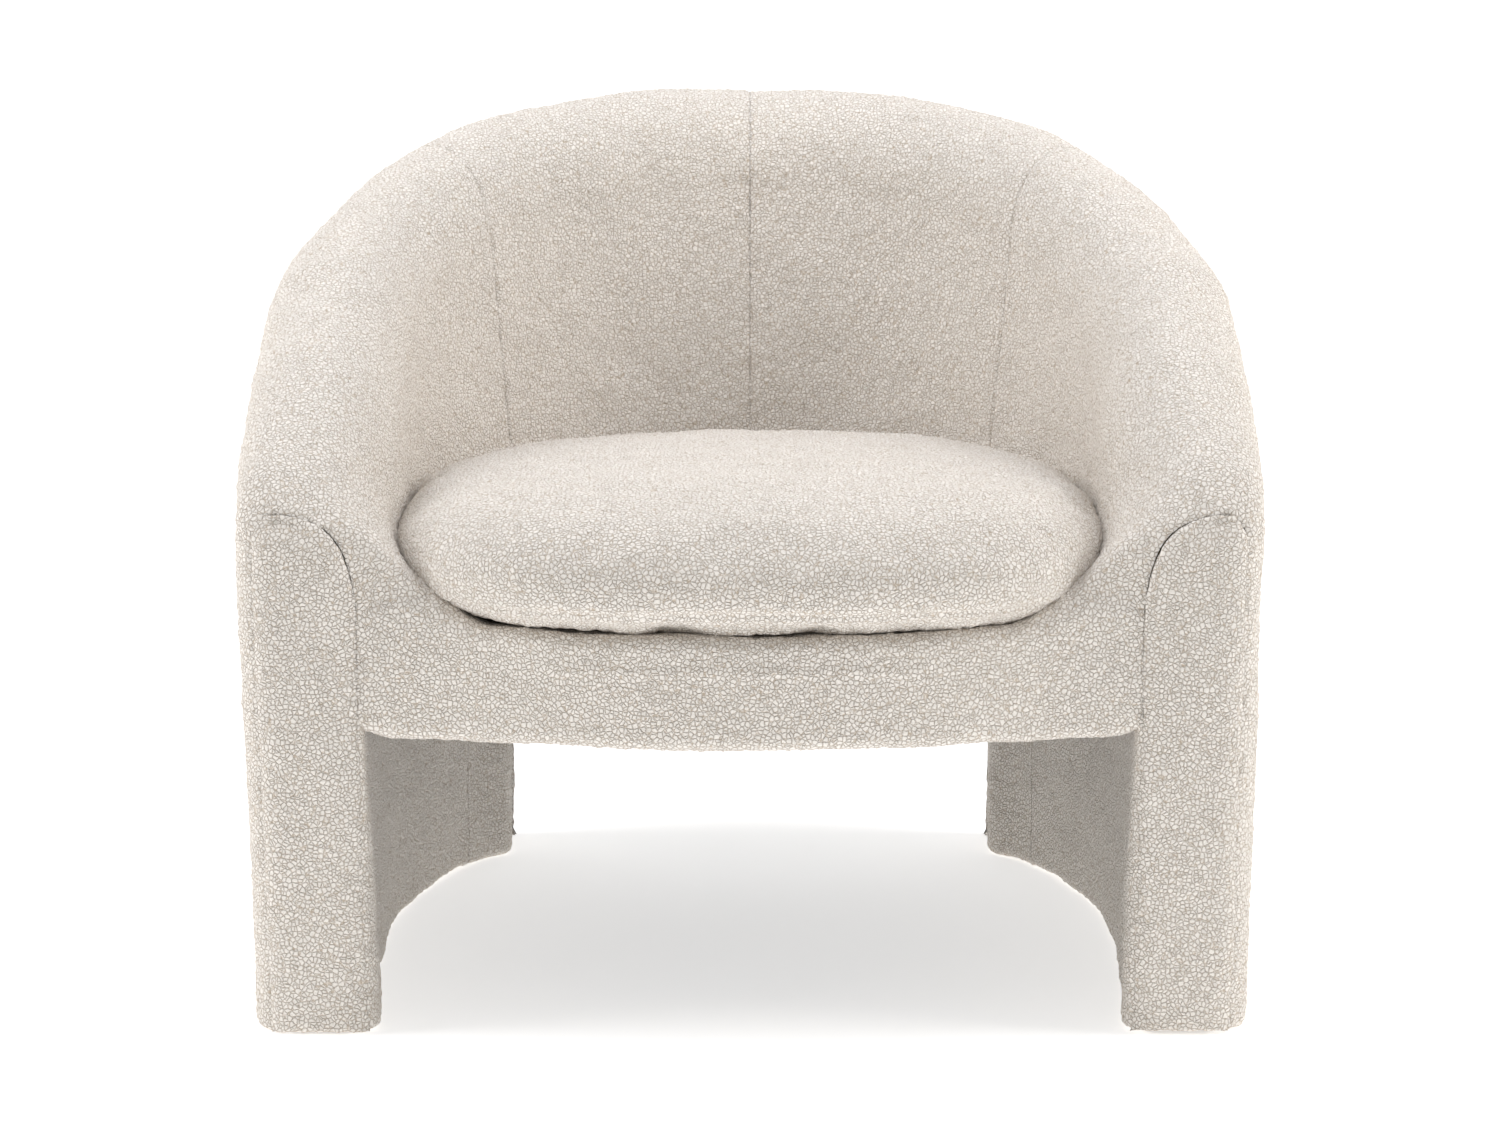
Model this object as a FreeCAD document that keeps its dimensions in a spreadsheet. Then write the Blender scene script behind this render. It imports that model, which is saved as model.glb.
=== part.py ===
import FreeCAD, Part
import math
import os

# Upholstered barrel armchair. Millimetres, +Z up, the sitter faces -Y, origin on the floor at the middle.
# A station number runs round the horseshoe plan: 0 at the back's middle, +-1 at the widest point of each
# side and +-2 at the front plane of the arms. Depth is measured inwards from the outer face.

DRIVING = {
    "belt_half_width": 402.5,    # outer face, at the height of the arms
    "rear_radius": 420.0,        # from the widest point back to the outer face of the back
    "side_length": 300.0,        # from the front plane of the arms back to the widest point
    "front_tuck": 22.0,          # how far each side draws in towards its front end
    "front_plane": -335.0,       # front face of the arms and legs
    "skirt_taper": 6.5,          # the outer face leans in this much from belt to floor
    "belt_height": 400.0,
    "rim_back": 716.0,           # height of the rim's crest at stations 0, 0.5, 1, 1.5 and 2
    "rim_shoulder": 684.0,
    "rim_side": 570.0,
    "rim_arm": 495.0,
    "rim_front": 408.0,
    "crest_depth": 55.0,         # crest of the rim, inwards from the outer face
    "crest_drop_out": 60.0,      # height of the rim's outer quarter
    "crest_drop_in": 90.0,       # height of the rim's inner quarter
    "wall_top": 118.0,           # thickness just under the rim
    "wall_front": 104.0,         # the same, at the front of the arms
    "wall_slope": 0.118,         # extra thickness for each millimetre further down, to the lean's end
    "lean_end": 390.0,
    "seam_station": 0.61,        # seam between the back and each arm
    "slab_depth": 28.0,          # padded panel on the front of each arm
    "leg_inner_half": 306.0,     # inner face of the legs at their widest
    "leg_inner_tuck": 19.0,
    "leg_inner_length": 280.0,
    "leg_inner_radius": 434.0,
    "nose_half": 225.0,          # half width of the opening between the rear ends of the legs
    "nose_round": 22.0,
    "hem_height": 4.0,           # lower edge of the covers above the floor
    "apron_bottom": 225.0,
    "apron_top": 312.0,
    "apron_radius": 590.0,
    "apron_bow": 38.0,           # the apron's middle stands this far in front of the arms
    "apron_half": 278.0,
    "cover_thick": 3.0,
    "layer_gap": 0.5,
    "rim_seam_gap": 2.0,
    "foam_thick": 34.0,
    "outer_foam_thick": 10.0,
    "frame_depth": 20.0,         # outer face of the timber, inwards from the outer face
    "timber_wide": 40.0,
    "timber_thick": 30.0,
    "board_inset": 10.0,         # plywood panel inside an arm's front, drawn in from the cover
    "board_thick": 11.5,
    "board_top": 362.0,
    "plate_thick": 18.0,
    "plate_bottom": 6.0,
    "plate_margin": 17.0,        # the leg plates, drawn in from the covers
    "post_depth": 22.0,
    "seat_rail_bottom": 231.0,
    "seat_rail_high": 66.0,
    "rail_thick": 25.0,
    "block_size": 45.0,
    "block_high": 40.0,
    "top_rail_high": 38.0,
    "deck_bottom": 303.0,
    "deck_pad_thick": 10.0,
    "deck_cloth_thick": 2.5,
    "cushion_half": 267.0,
    "cushion_back": 569.0,       # rear edge of the cushion, behind the front plane
    "cushion_nose": 50.0,        # front edge of the cushion, ahead of the front plane
    "cushion_middle": 290.0,
    "cushion_bottom": 318.0,
    "cushion_top": 428.0,
    "spring_wire": 1.9,
    "spring_half_wide": 22.0,
    "spring_pitch": 23.0,
    "spring_spacing": 86.0,
    "glide_radius": 12.0,
    "glide_high": 6.0,
    "glide_depth": 42.0,
    "cloth_thick": 1.5,
    "clip_long": 9.0,
    "clip_wide": 5.0,
    "clip_thick": 1.2,
    "staple_long": 9.0,
    "staple_wire": 1.0,
    "zip_long": 320.0,
    "zip_wide": 26.0,
    "zip_thick": 1.0,
    "zip_behind": 430.0,         # from the front plane of the arms back to the zip
    "slider_long": 9.0,
    "slider_wide": 6.0,
}

doc = FreeCAD.newDocument("armchair")
sheet = doc.addObject("Spreadsheet::Sheet", "Dimensions")
for row, (alias, value) in enumerate(DRIVING.items(), start=1):
    sheet.set("A%d" % row, alias)
    sheet.set("B%d" % row, str(value))
    sheet.setAlias("B%d" % row, alias)
doc.recompute()

SUBPARTS = []
V = FreeCAD.Vector
Z_AXIS = V(0, 0, 1)
LEFT = -1
RIGHT = 1
SIDE_NAMES = {LEFT: "left", RIGHT: "right"}


def dim(alias):
    """A driving dimension, read from the sheet."""
    return float(sheet.get(alias))


def keep(label, obj):
    """Names a sub-part and lists it for writing."""
    obj.Label = label
    SUBPARTS.append(obj)
    return obj


def keep_shape(label, shape):
    """A sub-part whose shape is worked out by Part's own functions."""
    obj = doc.addObject("Part::Feature", label)
    obj.Shape = shape
    obj.Placement = FreeCAD.Placement()
    return keep(label, obj)


# ---------------------------------------------------------------- plan and section of the upholstered shell

def rim_height(station):
    """Crest height: a cubic through the five stated heights, level at the middle of the back."""
    heights = [dim("rim_back"), dim("rim_shoulder"), dim("rim_side"), dim("rim_arm"), dim("rim_front")]
    place = min(abs(station), 2.0) / 0.5
    k = min(int(place), 3)
    f = place - k
    before = heights[k - 1] if k > 0 else heights[1]
    after = heights[k + 2] if k < 3 else 2 * heights[4] - heights[3]
    slope0 = (heights[k + 1] - before) / 2
    slope1 = (after - heights[k]) / 2
    return ((2 * f**3 - 3 * f**2 + 1) * heights[k] + (f**3 - 2 * f**2 + f) * slope0
            + (3 * f**2 - 2 * f**3) * heights[k + 1] + (f**3 - f**2) * slope1)


def plan_point(station):
    """Outer face at the belt and the outward direction: half an ellipse behind, drawn-in sides in front."""
    a = dim("belt_half_width")
    size = abs(station)
    side = -1 if station < 0 else 1
    middle = dim("front_plane") + dim("side_length")
    if size <= 1:
        turn = size * math.pi / 2
        x = a * math.sin(turn)
        y = middle + dim("rear_radius") * math.cos(turn)
        run = V(a * math.cos(turn), -dim("rear_radius") * math.sin(turn), 0)
    else:
        ahead = size - 1
        x = a - dim("front_tuck") * ahead**2
        y = middle - dim("side_length") * ahead
        run = V(-2 * dim("front_tuck") * ahead, -dim("side_length"), 0)
    out = V(-run.y, run.x, 0).normalize()
    return V(side * x, y, 0), V(side * out.x, out.y, 0)


def wall_thickness(station, height):
    """Thickness of the padded wall under the rim: thinner towards the front, thicker lower down."""
    ease = min(max((abs(station) - 1.0) / 1.0, 0.0), 1.0)
    ease = ease * ease * (3 - 2 * ease)
    top = dim("wall_top") + (dim("wall_front") - dim("wall_top")) * ease
    below = max(rim_height(station) - dim("crest_drop_in") - max(height, dim("lean_end")), 0.0)
    return top + dim("wall_slope") * below


def shell_point(station, depth, height):
    """A point of the shell at a depth inwards from its outer face, leaning in towards the floor."""
    base, out = plan_point(station)
    taper = dim("skirt_taper") * min(max(1 - height / dim("belt_height"), 0.0), 1.0)
    return base - out * (depth + taper) + V(0, 0, height)


def outer_face(station, inset, bottom, count):
    """Outer face from a height up to where the rim begins."""
    top = rim_height(station) - dim("crest_drop_out")
    return [shell_point(station, inset, bottom + (top - bottom) * k / (count - 1)) for k in range(count)]


def rim_and_inner_face(station, inset, bottom, count):
    """Over the rim as two quarter ellipses, then down the inner face to a height."""
    crest = rim_height(station)
    low_out = crest - dim("crest_drop_out")
    low_in = max(crest - dim("crest_drop_in"), bottom + 30.0)
    drop_in = crest - low_in
    points = []
    for k in range(count):
        turn = math.pi / 2 * k / count
        depth = dim("crest_depth") - (dim("crest_depth") - inset) * math.cos(turn)
        points.append(shell_point(station, depth, low_out + (dim("crest_drop_out") - inset) * math.sin(turn)))
    inner = wall_thickness(station, low_in) - dim("crest_depth") - inset
    for k in range(count):
        turn = math.pi / 2 * (1 - k / count)
        height = low_in + (drop_in - inset) * math.sin(turn)
        points.append(shell_point(station, dim("crest_depth") + inner * math.cos(turn), height))
    for k in range(count):
        height = low_in + (bottom - low_in) * k / (count - 1)
        points.append(shell_point(station, wall_thickness(station, height) - inset, height))
    return points


def section_wire(face, back):
    """A closed section: a smooth curve on one face, one on the other, and straight ends."""
    curves = []
    for points in (face, back):
        curve = Part.BSplineCurve()
        curve.interpolate(points)
        curves.append(curve.toShape())
    ends = [Part.makeLine(face[-1], back[-1]), Part.makeLine(back[0], face[0])]
    return Part.Wire([curves[0], ends[0], curves[1].reversed(), ends[1]])


def layer(line, start, end, depth_a, depth_b, bottom, count, sections):
    """A curved layer of the shell between two insets, lofted through sections from start to end."""
    wires = []
    for k in range(sections):
        station = start + (end - start) * k / (sections - 1)
        wires.append(section_wire(line(station, depth_a, bottom, count), line(station, depth_b, bottom, count)))
    return Part.makeLoft(wires, True, False)


def front_station(depth):
    """The station at a distance behind the front plane."""
    return 2 - depth / dim("side_length")


SEAM = dim("seam_station")
SEAM_GAP = 0.002
FRONT_END = front_station(dim("slab_depth") + dim("layer_gap"))
INNER_BOTTOM = dim("deck_bottom")
FOAM_START = dim("cover_thick") + dim("layer_gap")
FOAM_END = FOAM_START + dim("foam_thick")
OUTER_FOAM_END = FOAM_START + dim("outer_foam_thick")
APRON_FOAM_END = OUTER_FOAM_END + 7
RAIL_BELOW_SKIRT = 8
COLUMN_POINTS = 6
ARM_SECTIONS = 9


def build_shell_layers():
    """Covers and foams of the arms and back, inside over the rim and outside."""
    for side in (LEFT, RIGHT):
        name = SIDE_NAMES[side]
        start = side * (SEAM + SEAM_GAP)
        end = side * FRONT_END
        low = dim("hem_height")
        keep_shape("inside_arm_cover_" + name, layer(
            rim_and_inner_face, start, end, 0, dim("cover_thick"), INNER_BOTTOM, COLUMN_POINTS, ARM_SECTIONS))
        keep_shape("inside_arm_foam_" + name, layer(
            rim_and_inner_face, start, end, FOAM_START, FOAM_END, INNER_BOTTOM, COLUMN_POINTS, ARM_SECTIONS))
        keep_shape("outside_arm_cover_" + name, layer(
            outer_under_rim, start, end, 0, dim("cover_thick"), low, COLUMN_POINTS, ARM_SECTIONS))
        keep_shape("outside_arm_foam_" + name, layer(
            outer_under_rim, start, end, FOAM_START, OUTER_FOAM_END, low, COLUMN_POINTS, ARM_SECTIONS))
        keep_shape("inside_back_cover_" + name, layer(
            rim_and_inner_face, side * SEAM_GAP, side * (SEAM - SEAM_GAP), 0, dim("cover_thick"),
            INNER_BOTTOM, COLUMN_POINTS, 7))
    edge = SEAM - SEAM_GAP
    low = dim("apron_bottom")
    keep_shape("inside_back_foam", layer(
        rim_and_inner_face, -edge, edge, FOAM_START, FOAM_END, INNER_BOTTOM, COLUMN_POINTS, 13))
    keep_shape("outside_back_cover", layer(
        outer_under_rim, -edge, edge, 0, dim("cover_thick"), low, COLUMN_POINTS, 13))
    keep_shape("outside_back_foam", layer(
        outer_under_rim, -edge, edge, FOAM_START, OUTER_FOAM_END, low, COLUMN_POINTS, 13))


def outer_under_rim(station, inset, bottom, count):
    """Outer face, ending a seam's width under the rim panels."""
    points = outer_face(station, inset, bottom, count)
    points[-1] = points[-1] - V(0, 0, dim("rim_seam_gap"))
    return points


# ---------------------------------------------------------------- legs: plan lines, covers, foams and timber

def leg_inner_point(turn):
    """Inner face of the legs: turn 0 to 1 round the rear ellipse from its widest point, below 0 ahead of it."""
    middle = dim("front_plane") + dim("leg_inner_length")
    if turn <= 0:
        return V(dim("leg_inner_half") - dim("leg_inner_tuck") * turn**2,
                 middle + dim("leg_inner_length") * turn, 0)
    angle = turn * math.pi / 2
    return V(dim("leg_inner_half") * math.cos(angle), middle + dim("leg_inner_radius") * math.sin(angle), 0)


NOSE_TURN = math.acos((dim("nose_half") + dim("nose_round")) / dim("leg_inner_half")) / (math.pi / 2)
NOSE_STATION = math.asin(dim("nose_half") / dim("belt_half_width")) / (math.pi / 2)
NOSE_CORNER_REAR = 20
NOSE_CORNER_FRONT = 26


def leg_inner_line(first_turn, last_turn, count):
    """Points along the inner face of the right-hand leg."""
    return [leg_inner_point(first_turn + (last_turn - first_turn) * k / (count - 1)) for k in range(count)]


def outer_plan_line(first, last, depth, height, count):
    """Points along the outer face at a depth and a height, flattened to the plan."""
    points = []
    for k in range(count):
        point = shell_point(first + (last - first) * k / (count - 1), depth, height)
        points.append(V(point.x, point.y, 0))
    return points


def offset_line(points, distance):
    """A plan line moved sideways, to the left of its own direction."""
    moved = []
    last = len(points) - 1
    for k, point in enumerate(points):
        run = points[min(k + 1, last)] - points[max(k - 1, 0)]
        moved.append(point + V(-run.y, run.x, 0).normalize() * distance)
    return moved


def mirrored(points, side):
    """A right-hand plan line taken to the stated side."""
    return [V(side * p.x, p.y, p.z) for p in points]


def curve_edge(points):
    """A smooth edge through plan points."""
    curve = Part.BSplineCurve()
    curve.interpolate(points)
    return curve


def plan_body(label, lines, bottom, height):
    """A body padded from a sketch of smooth plan lines joined end to end by straight ones."""
    body = doc.addObject("PartDesign::Body", label)
    sketch = body.newObject("Sketcher::SketchObject", label + "_outline")
    planes = [f for f in body.Origin.OriginFeatures if f.Role == "XY_Plane"]
    sketch.AttachmentSupport = [(planes[0], "")]
    sketch.MapMode = "FlatFace"
    for k, line in enumerate(lines):
        if len(line) > 2:
            sketch.addGeometry(curve_edge(line), False)
        else:
            sketch.addGeometry(Part.LineSegment(line[0], line[1]), False)
        ahead = lines[(k + 1) % len(lines)][0]
        if (ahead - line[-1]).Length > 1e-6:
            sketch.addGeometry(Part.LineSegment(line[-1], ahead), False)
    pad = body.newObject("PartDesign::Pad", label + "_pad")
    pad.Profile = sketch
    pad.setExpression("Length", height)
    body.setExpression(".Placement.Base.z", bottom)
    return keep(label, body)


def strip_body(label, line, depth_a, depth_b, bottom, height):
    """A body that follows a plan line between two offsets."""
    near = offset_line(line, depth_a)
    far = offset_line(line, depth_b)
    return plan_body(label, [near, far[::-1]], bottom, height)


def nose_line(side):
    """From the outside seam round the rear end of a leg to its inner face, all on the visible side."""
    outer = outer_plan_line(SEAM, NOSE_STATION + 0.03, 0, 0, 5)
    inner = leg_inner_line(NOSE_TURN, NOSE_TURN - 0.02, 2)
    half = dim("nose_half")
    flat_end = [V(half, outer[-1].y - NOSE_CORNER_REAR, 0), V(half, inner[0].y + NOSE_CORNER_FRONT, 0)]
    return mirrored(outer + flat_end + inner, side)


def build_legs():
    """Covers and foams of the legs' inner faces and rear ends."""
    leg_high = "Dimensions.apron_bottom - Dimensions.hem_height - Dimensions.layer_gap"
    for side in (LEFT, RIGHT):
        name = SIDE_NAMES[side]
        front = -(1 - (dim("slab_depth") + dim("layer_gap")) / dim("leg_inner_length"))
        line = mirrored(leg_inner_line(front, NOSE_TURN - 0.03, 11), side)
        into = -side
        strip_body("inner_leg_cover_" + name, line, 0, into * dim("cover_thick"),
                   "Dimensions.hem_height", leg_high)
        foam_line = mirrored(leg_inner_line(front + 0.015, NOSE_TURN - 0.03, 11), side)
        strip_body("inner_leg_foam_" + name, foam_line, into * FOAM_START, into * OUTER_FOAM_END,
                   "Dimensions.hem_height", leg_high)
        nose = nose_line(side)
        strip_body("rear_leg_cover_" + name, nose, 0, side * -dim("cover_thick"),
                   "Dimensions.hem_height", leg_high)


def plate_outline(side):
    """Plan of a leg's timber plate, drawn in from the covers by a margin."""
    margin = dim("plate_margin")
    outer = outer_plan_line(front_station(dim("slab_depth") + 2), NOSE_STATION + 0.09, margin, 0, 9)
    turn = -(1 - (dim("slab_depth") + 2) / dim("leg_inner_length"))
    inner = offset_line(leg_inner_line(NOSE_TURN - 0.10, turn, 9), margin)
    return [mirrored(outer, side), mirrored(inner, side)]


def build_leg_timber():
    """Base plates, seat-level plates, posts between them and the glides underneath."""
    for side in (LEFT, RIGHT):
        name = SIDE_NAMES[side]
        plan_body("base_plate_" + name, plate_outline(side), "Dimensions.plate_bottom",
                  "Dimensions.plate_thick")
        plan_body("seat_plate_" + name, plate_outline(side), "Dimensions.seat_rail_bottom",
                  "Dimensions.plate_thick")
        low = dim("plate_bottom") + dim("plate_thick")
        posts = doc.addObject("Part::Compound", "leg_posts_" + name)
        posts.Links = [
            standing_batten("post_%s_%d" % (name, number), side * station, low, dim("seat_rail_bottom"),
                            dim("post_depth"))
            for number, station in enumerate(LEG_POST_STATIONS, start=1)]
        keep("leg_posts_" + name, posts)


LEG_POST_STATIONS = (1.80, 1.30, 0.92, 0.66)
GLIDE_STATIONS = (1.82, 1.35, 0.95, 0.62)
UPRIGHT_STATIONS = (1.74, 1.25, 0.80, 0.43)
REAR_UPRIGHT = 0.5


def batten_placement(station, low, depth):
    """Where a batten stands in the wall: its wide side along the depth, its middle on the station."""
    base, out = plan_point(station)
    turn = FreeCAD.Rotation(Z_AXIS, math.degrees(math.atan2(out.y, out.x)) - 90)
    corner = base - out * depth + turn.multVec(V(-dim("timber_thick") / 2, -dim("timber_wide"), 0))
    return FreeCAD.Placement(V(corner.x, corner.y, low), turn)


def standing_batten(label, station, low, high, depth):
    """A rectangular batten standing in the wall."""
    batten = doc.addObject("Part::Box", label)
    batten.setExpression("Length", "Dimensions.timber_thick")
    batten.setExpression("Width", "Dimensions.timber_wide")
    batten.Height = high - low
    batten.Placement = batten_placement(station, low, depth)
    return batten


def build_glides():
    """Nail-on plastic glides under the base plates."""
    glides = []
    for side in (LEFT, RIGHT):
        for station in GLIDE_STATIONS:
            place = shell_point(side * station, dim("glide_depth"), 0)
            glides.append(Part.makeCylinder(dim("glide_radius"), dim("glide_high"), place))
    keep_shape("glides", Part.makeCompound(glides))


# ---------------------------------------------------------------- uprights, top rail, seat rails

def top_rail(start, end, sections):
    """A bent rail that follows the rim, rectangular in section."""
    wires = []
    near = dim("frame_depth")
    far = near + dim("timber_wide")
    for k in range(sections):
        station = start + (end - start) * k / (sections - 1)
        top = rim_height(station) - dim("crest_drop_out") - RAIL_BELOW_SKIRT
        low = top - dim("top_rail_high")
        corners = [shell_point(station, d, z) for d, z in ((near, low), (far, low), (far, top), (near, top))]
        wires.append(Part.makePolygon(corners + corners[:1]))
    return Part.makeLoft(wires, True, False)


def build_back_timber():
    """Top rails and the uprights that carry them."""
    joint = 0.70
    keep_shape("back_top_rail", top_rail(-joint + 0.002, joint - 0.002, 13))
    plate_top = dim("seat_rail_bottom") + dim("plate_thick")
    for side in (LEFT, RIGHT):
        name = SIDE_NAMES[side]
        keep_shape("arm_top_rail_" + name, top_rail(side * (joint + 0.002), side * 1.88, 9))
        for number, station in enumerate(UPRIGHT_STATIONS, start=1):
            rail_low = rim_height(station) - dim("crest_drop_out") - RAIL_BELOW_SKIRT - dim("top_rail_high")
            over_leg = station > REAR_UPRIGHT
            low = plate_top if over_leg else dim("seat_rail_bottom") + dim("seat_rail_high")
            drop = 17.0 if over_leg else 9.0
            label = "upright_%s_%d" % (name, number)
            keep(label, standing_batten(label, side * station, low, rail_low - drop, dim("frame_depth") + 1))


def arc_line(radius, half_angle, middle_y, count):
    """Plan points on an arc that bows towards the front."""
    points = []
    for k in range(count):
        angle = -half_angle + 2 * half_angle * k / (count - 1)
        points.append(V(radius * math.sin(angle), middle_y - radius * math.cos(angle), 0))
    return points


def apron_line(depth, half, count=9):
    """The apron's bowed plan at a depth behind its face."""
    radius = dim("apron_radius") - depth
    middle = dim("front_plane") - dim("apron_bow") + dim("apron_radius")
    return arc_line(radius, math.asin(half / radius), middle, count)


def build_seat_frame():
    """Bowed front rail, bent rear rail, side rails and glued corner blocks."""
    half = dim("apron_half") - 14
    depth = OUTER_FOAM_END + 8
    rail = [apron_line(depth, half), apron_line(depth + dim("rail_thick"), half)[::-1]]
    plan_body("front_rail", rail, "Dimensions.seat_rail_bottom", "Dimensions.seat_rail_high")
    edge = NOSE_STATION + 0.08
    near = outer_plan_line(-edge, edge, dim("frame_depth"), dim("apron_bottom"), 9)
    far = outer_plan_line(edge, -edge, dim("frame_depth") + dim("timber_wide"), dim("apron_bottom"), 9)
    plan_body("rear_rail", [near, far], "Dimensions.seat_rail_bottom", "Dimensions.seat_rail_high")
    for side in (LEFT, RIGHT):
        inner_turns = leg_inner_line(-0.80, 0.32, 9)
        near = offset_line(inner_turns, -1.0)
        far = offset_line(inner_turns, -1.0 - dim("rail_thick"))
        plan_body("side_rail_" + SIDE_NAMES[side], [mirrored(near, side), mirrored(far, side)[::-1]],
                  "Dimensions.seat_rail_bottom + Dimensions.plate_thick",
                  "Dimensions.seat_rail_high - Dimensions.plate_thick")
    blocks = [Part.Face(Part.makePolygon(block_corners(side))).extrude(V(0, 0, dim("block_high")))
              for side in (LEFT, RIGHT)]
    keep_shape("corner_blocks", Part.makeCompound(blocks))


def block_corners(side):
    """A three-cornered glued block in the angle of the front rail and a side rail."""
    size = dim("block_size")
    x = dim("apron_half") - 14
    y = apron_line(OUTER_FOAM_END + 8 + dim("rail_thick"), x)[0].y + 1
    low = dim("seat_rail_bottom") + dim("plate_thick") + 1
    corners = [V(side * x, y, low), V(side * x, y + size, low), V(side * (x - size), y, low)]
    return corners + corners[:1]


# ---------------------------------------------------------------- arm fronts and apron

def arm_front_outline(inset):
    """Front outline of an arm and its leg on the XZ plane, drawn in by an inset."""
    crest = rim_height(front_station(dim("slab_depth") / 2))
    base, _ = plan_point(2.0)
    outer = base.x
    floor_outer = outer - dim("skirt_taper")
    inner = dim("leg_inner_half") - dim("leg_inner_tuck")
    low = dim("hem_height") + inset
    drop_out = dim("crest_drop_out")
    drop_in = dim("crest_drop_in")
    crest_x = outer - dim("crest_depth")
    points = [V(floor_outer - inset, 0, low), V(outer - inset, 0, crest - drop_out)]
    edges = [Part.makeLine(points[0], points[1])]
    edges.append(quarter(crest_x, crest - drop_out, outer - inset - crest_x, drop_out - inset, 0, 90))
    edges.append(quarter(crest_x, crest - drop_in, crest_x - inner - inset, drop_in - inset, 90, 180))
    foot = V(inner + inset, 0, low)
    edges.append(Part.makeLine(V(inner + inset, 0, crest - drop_in), foot))
    edges.append(Part.makeLine(foot, points[0]))
    return Part.Wire(Part.__sortEdges__(edges))


def quarter(x, z, across, up, first, last):
    """A quarter ellipse on the XZ plane, about a centre."""
    points = []
    for k in range(9):
        angle = math.radians(first + (last - first) * k / 8)
        points.append(V(x + across * math.cos(angle), 0, z + up * math.sin(angle)))
    return curve_edge(points).toShape()


def arm_front_slab(inset, front, back):
    """The arm-front outline carried from one distance behind the front plane to another."""
    face = Part.Face(arm_front_outline(inset))
    face.translate(V(0, dim("front_plane") + front, 0))
    return face.extrude(V(0, back - front, 0))


def build_arm_fronts():
    """Plywood panel, foam and tray-shaped cover on the front of each arm and leg."""
    skin = dim("cover_thick")
    depth = dim("slab_depth")
    gap = dim("layer_gap")
    cover = arm_front_slab(0, 0, depth).cut(arm_front_slab(skin, skin, depth + 1))
    foam = arm_front_slab(FOAM_START, FOAM_START, depth - dim("board_thick") - gap)
    board = arm_front_slab(dim("board_inset"), depth - dim("board_thick"), depth)
    above = Part.makeBox(400, depth + 2, 100, V(100, dim("front_plane") - 1, dim("board_top")))
    board = board.cut(above)
    for side in (LEFT, RIGHT):
        name = SIDE_NAMES[side]
        for label, shape in (("cover", cover), ("foam", foam), ("board", board)):
            placed = shape.copy()
            if side == LEFT:
                placed = placed.mirror(V(0, 0, 0), V(1, 0, 0))
            keep_shape("arm_front_%s_%s" % (label, name), placed)


def build_apron():
    """Bowed apron cover and foam between the arm fronts."""
    half = dim("apron_half")
    cover = [apron_line(0, half), apron_line(dim("cover_thick"), half)[::-1]]
    plan_body("apron_cover", cover, "Dimensions.apron_bottom", "Dimensions.apron_top - Dimensions.apron_bottom")
    foam = [apron_line(FOAM_START, half), apron_line(APRON_FOAM_END, half)[::-1]]
    plan_body("apron_foam", foam, "Dimensions.apron_bottom",
              "Dimensions.apron_top - Dimensions.apron_bottom")


# ---------------------------------------------------------------- seat: springs, deck, dust cover

def seat_lines(margin, front_depth):
    """Plan of the seat: bowed in front, straight sides, half an ellipse behind."""
    middle = dim("front_plane") + dim("cushion_middle")
    half = dim("cushion_half") - margin
    rear = []
    deep = dim("cushion_back") - dim("cushion_middle") - margin
    for k in range(13):
        angle = math.pi * k / 12
        rear.append(V(half * math.cos(angle), middle + deep * math.sin(angle), 0))
    front = apron_line(front_depth, half)
    return [rear, front]


def build_deck():
    """Felt-faced pad and its cloth over the springs, under the loose cushion."""
    front = OUTER_FOAM_END + 8
    plan_body("deck_pad", seat_lines(8.0, front), "Dimensions.deck_bottom", "Dimensions.deck_pad_thick")
    plan_body("deck_cloth", seat_lines(6.0, front - 8),
              "Dimensions.deck_bottom + Dimensions.deck_pad_thick + 0.2", "Dimensions.deck_cloth_thick")
    plan_body("dust_cover", dust_cover_lines(2.0), "Dimensions.seat_rail_bottom - 2", "Dimensions.cloth_thick")
    long = dim("staple_long")
    wire = dim("staple_wire")
    corner = V(-long / 2, -wire / 2, dim("seat_rail_bottom") - 2.1 - wire)
    staples = []
    for points in dust_cover_lines(10.0):
        staples.extend(Part.makeBox(long, wire, wire, point + corner) for point in points[1:-1])
    keep_shape("dust_cover_staples", Part.makeCompound(staples))


def dust_cover_lines(margin):
    """Plan of the dust cover: behind the apron, inside the legs and in front of the back's covers."""
    front = apron_line(APRON_FOAM_END + margin, dim("apron_half") - margin, 13)
    right = offset_line(leg_inner_line(-0.80, NOSE_TURN, 9), margin)
    edge = NOSE_STATION - 0.01
    rear = outer_plan_line(edge, -edge, OUTER_FOAM_END + margin, dim("apron_bottom"), 11)
    left = mirrored(right, LEFT)[::-1]
    return [front, right, rear, left]


def spring_wire(x, front_y, back_y, height):
    """One zigzag seat spring: straight runs joined by half-round bends, swept with a round section."""
    half = dim("spring_half_wide")
    pitch = dim("spring_pitch")
    turns = int((back_y - front_y) / pitch)
    bend = pitch / 2
    edges = []
    y = front_y
    side = 1
    here = V(x, y, height)
    for k in range(turns):
        across = V(x + side * (half - bend), y, height)
        edges.append(Part.makeLine(here, across))
        after = V(across.x, y + pitch, height)
        top = V(across.x + side * bend, y + bend, height)
        edges.append(Part.Arc(across, top, after).toShape())
        here = after
        y += pitch
        side = -side
    end = V(x, y, height)
    edges.append(Part.makeLine(here, end))
    path = Part.Wire(edges)
    circle = Part.makeCircle(dim("spring_wire"), edges[0].Vertexes[0].Point, V(1, 0, 0))
    return path.makePipeShell([Part.Wire(circle)], True, False), end


SPRING_HEIGHT = 299.5
SPRING_ROWS = (-2, -1, 0, 1, 2)


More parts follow.
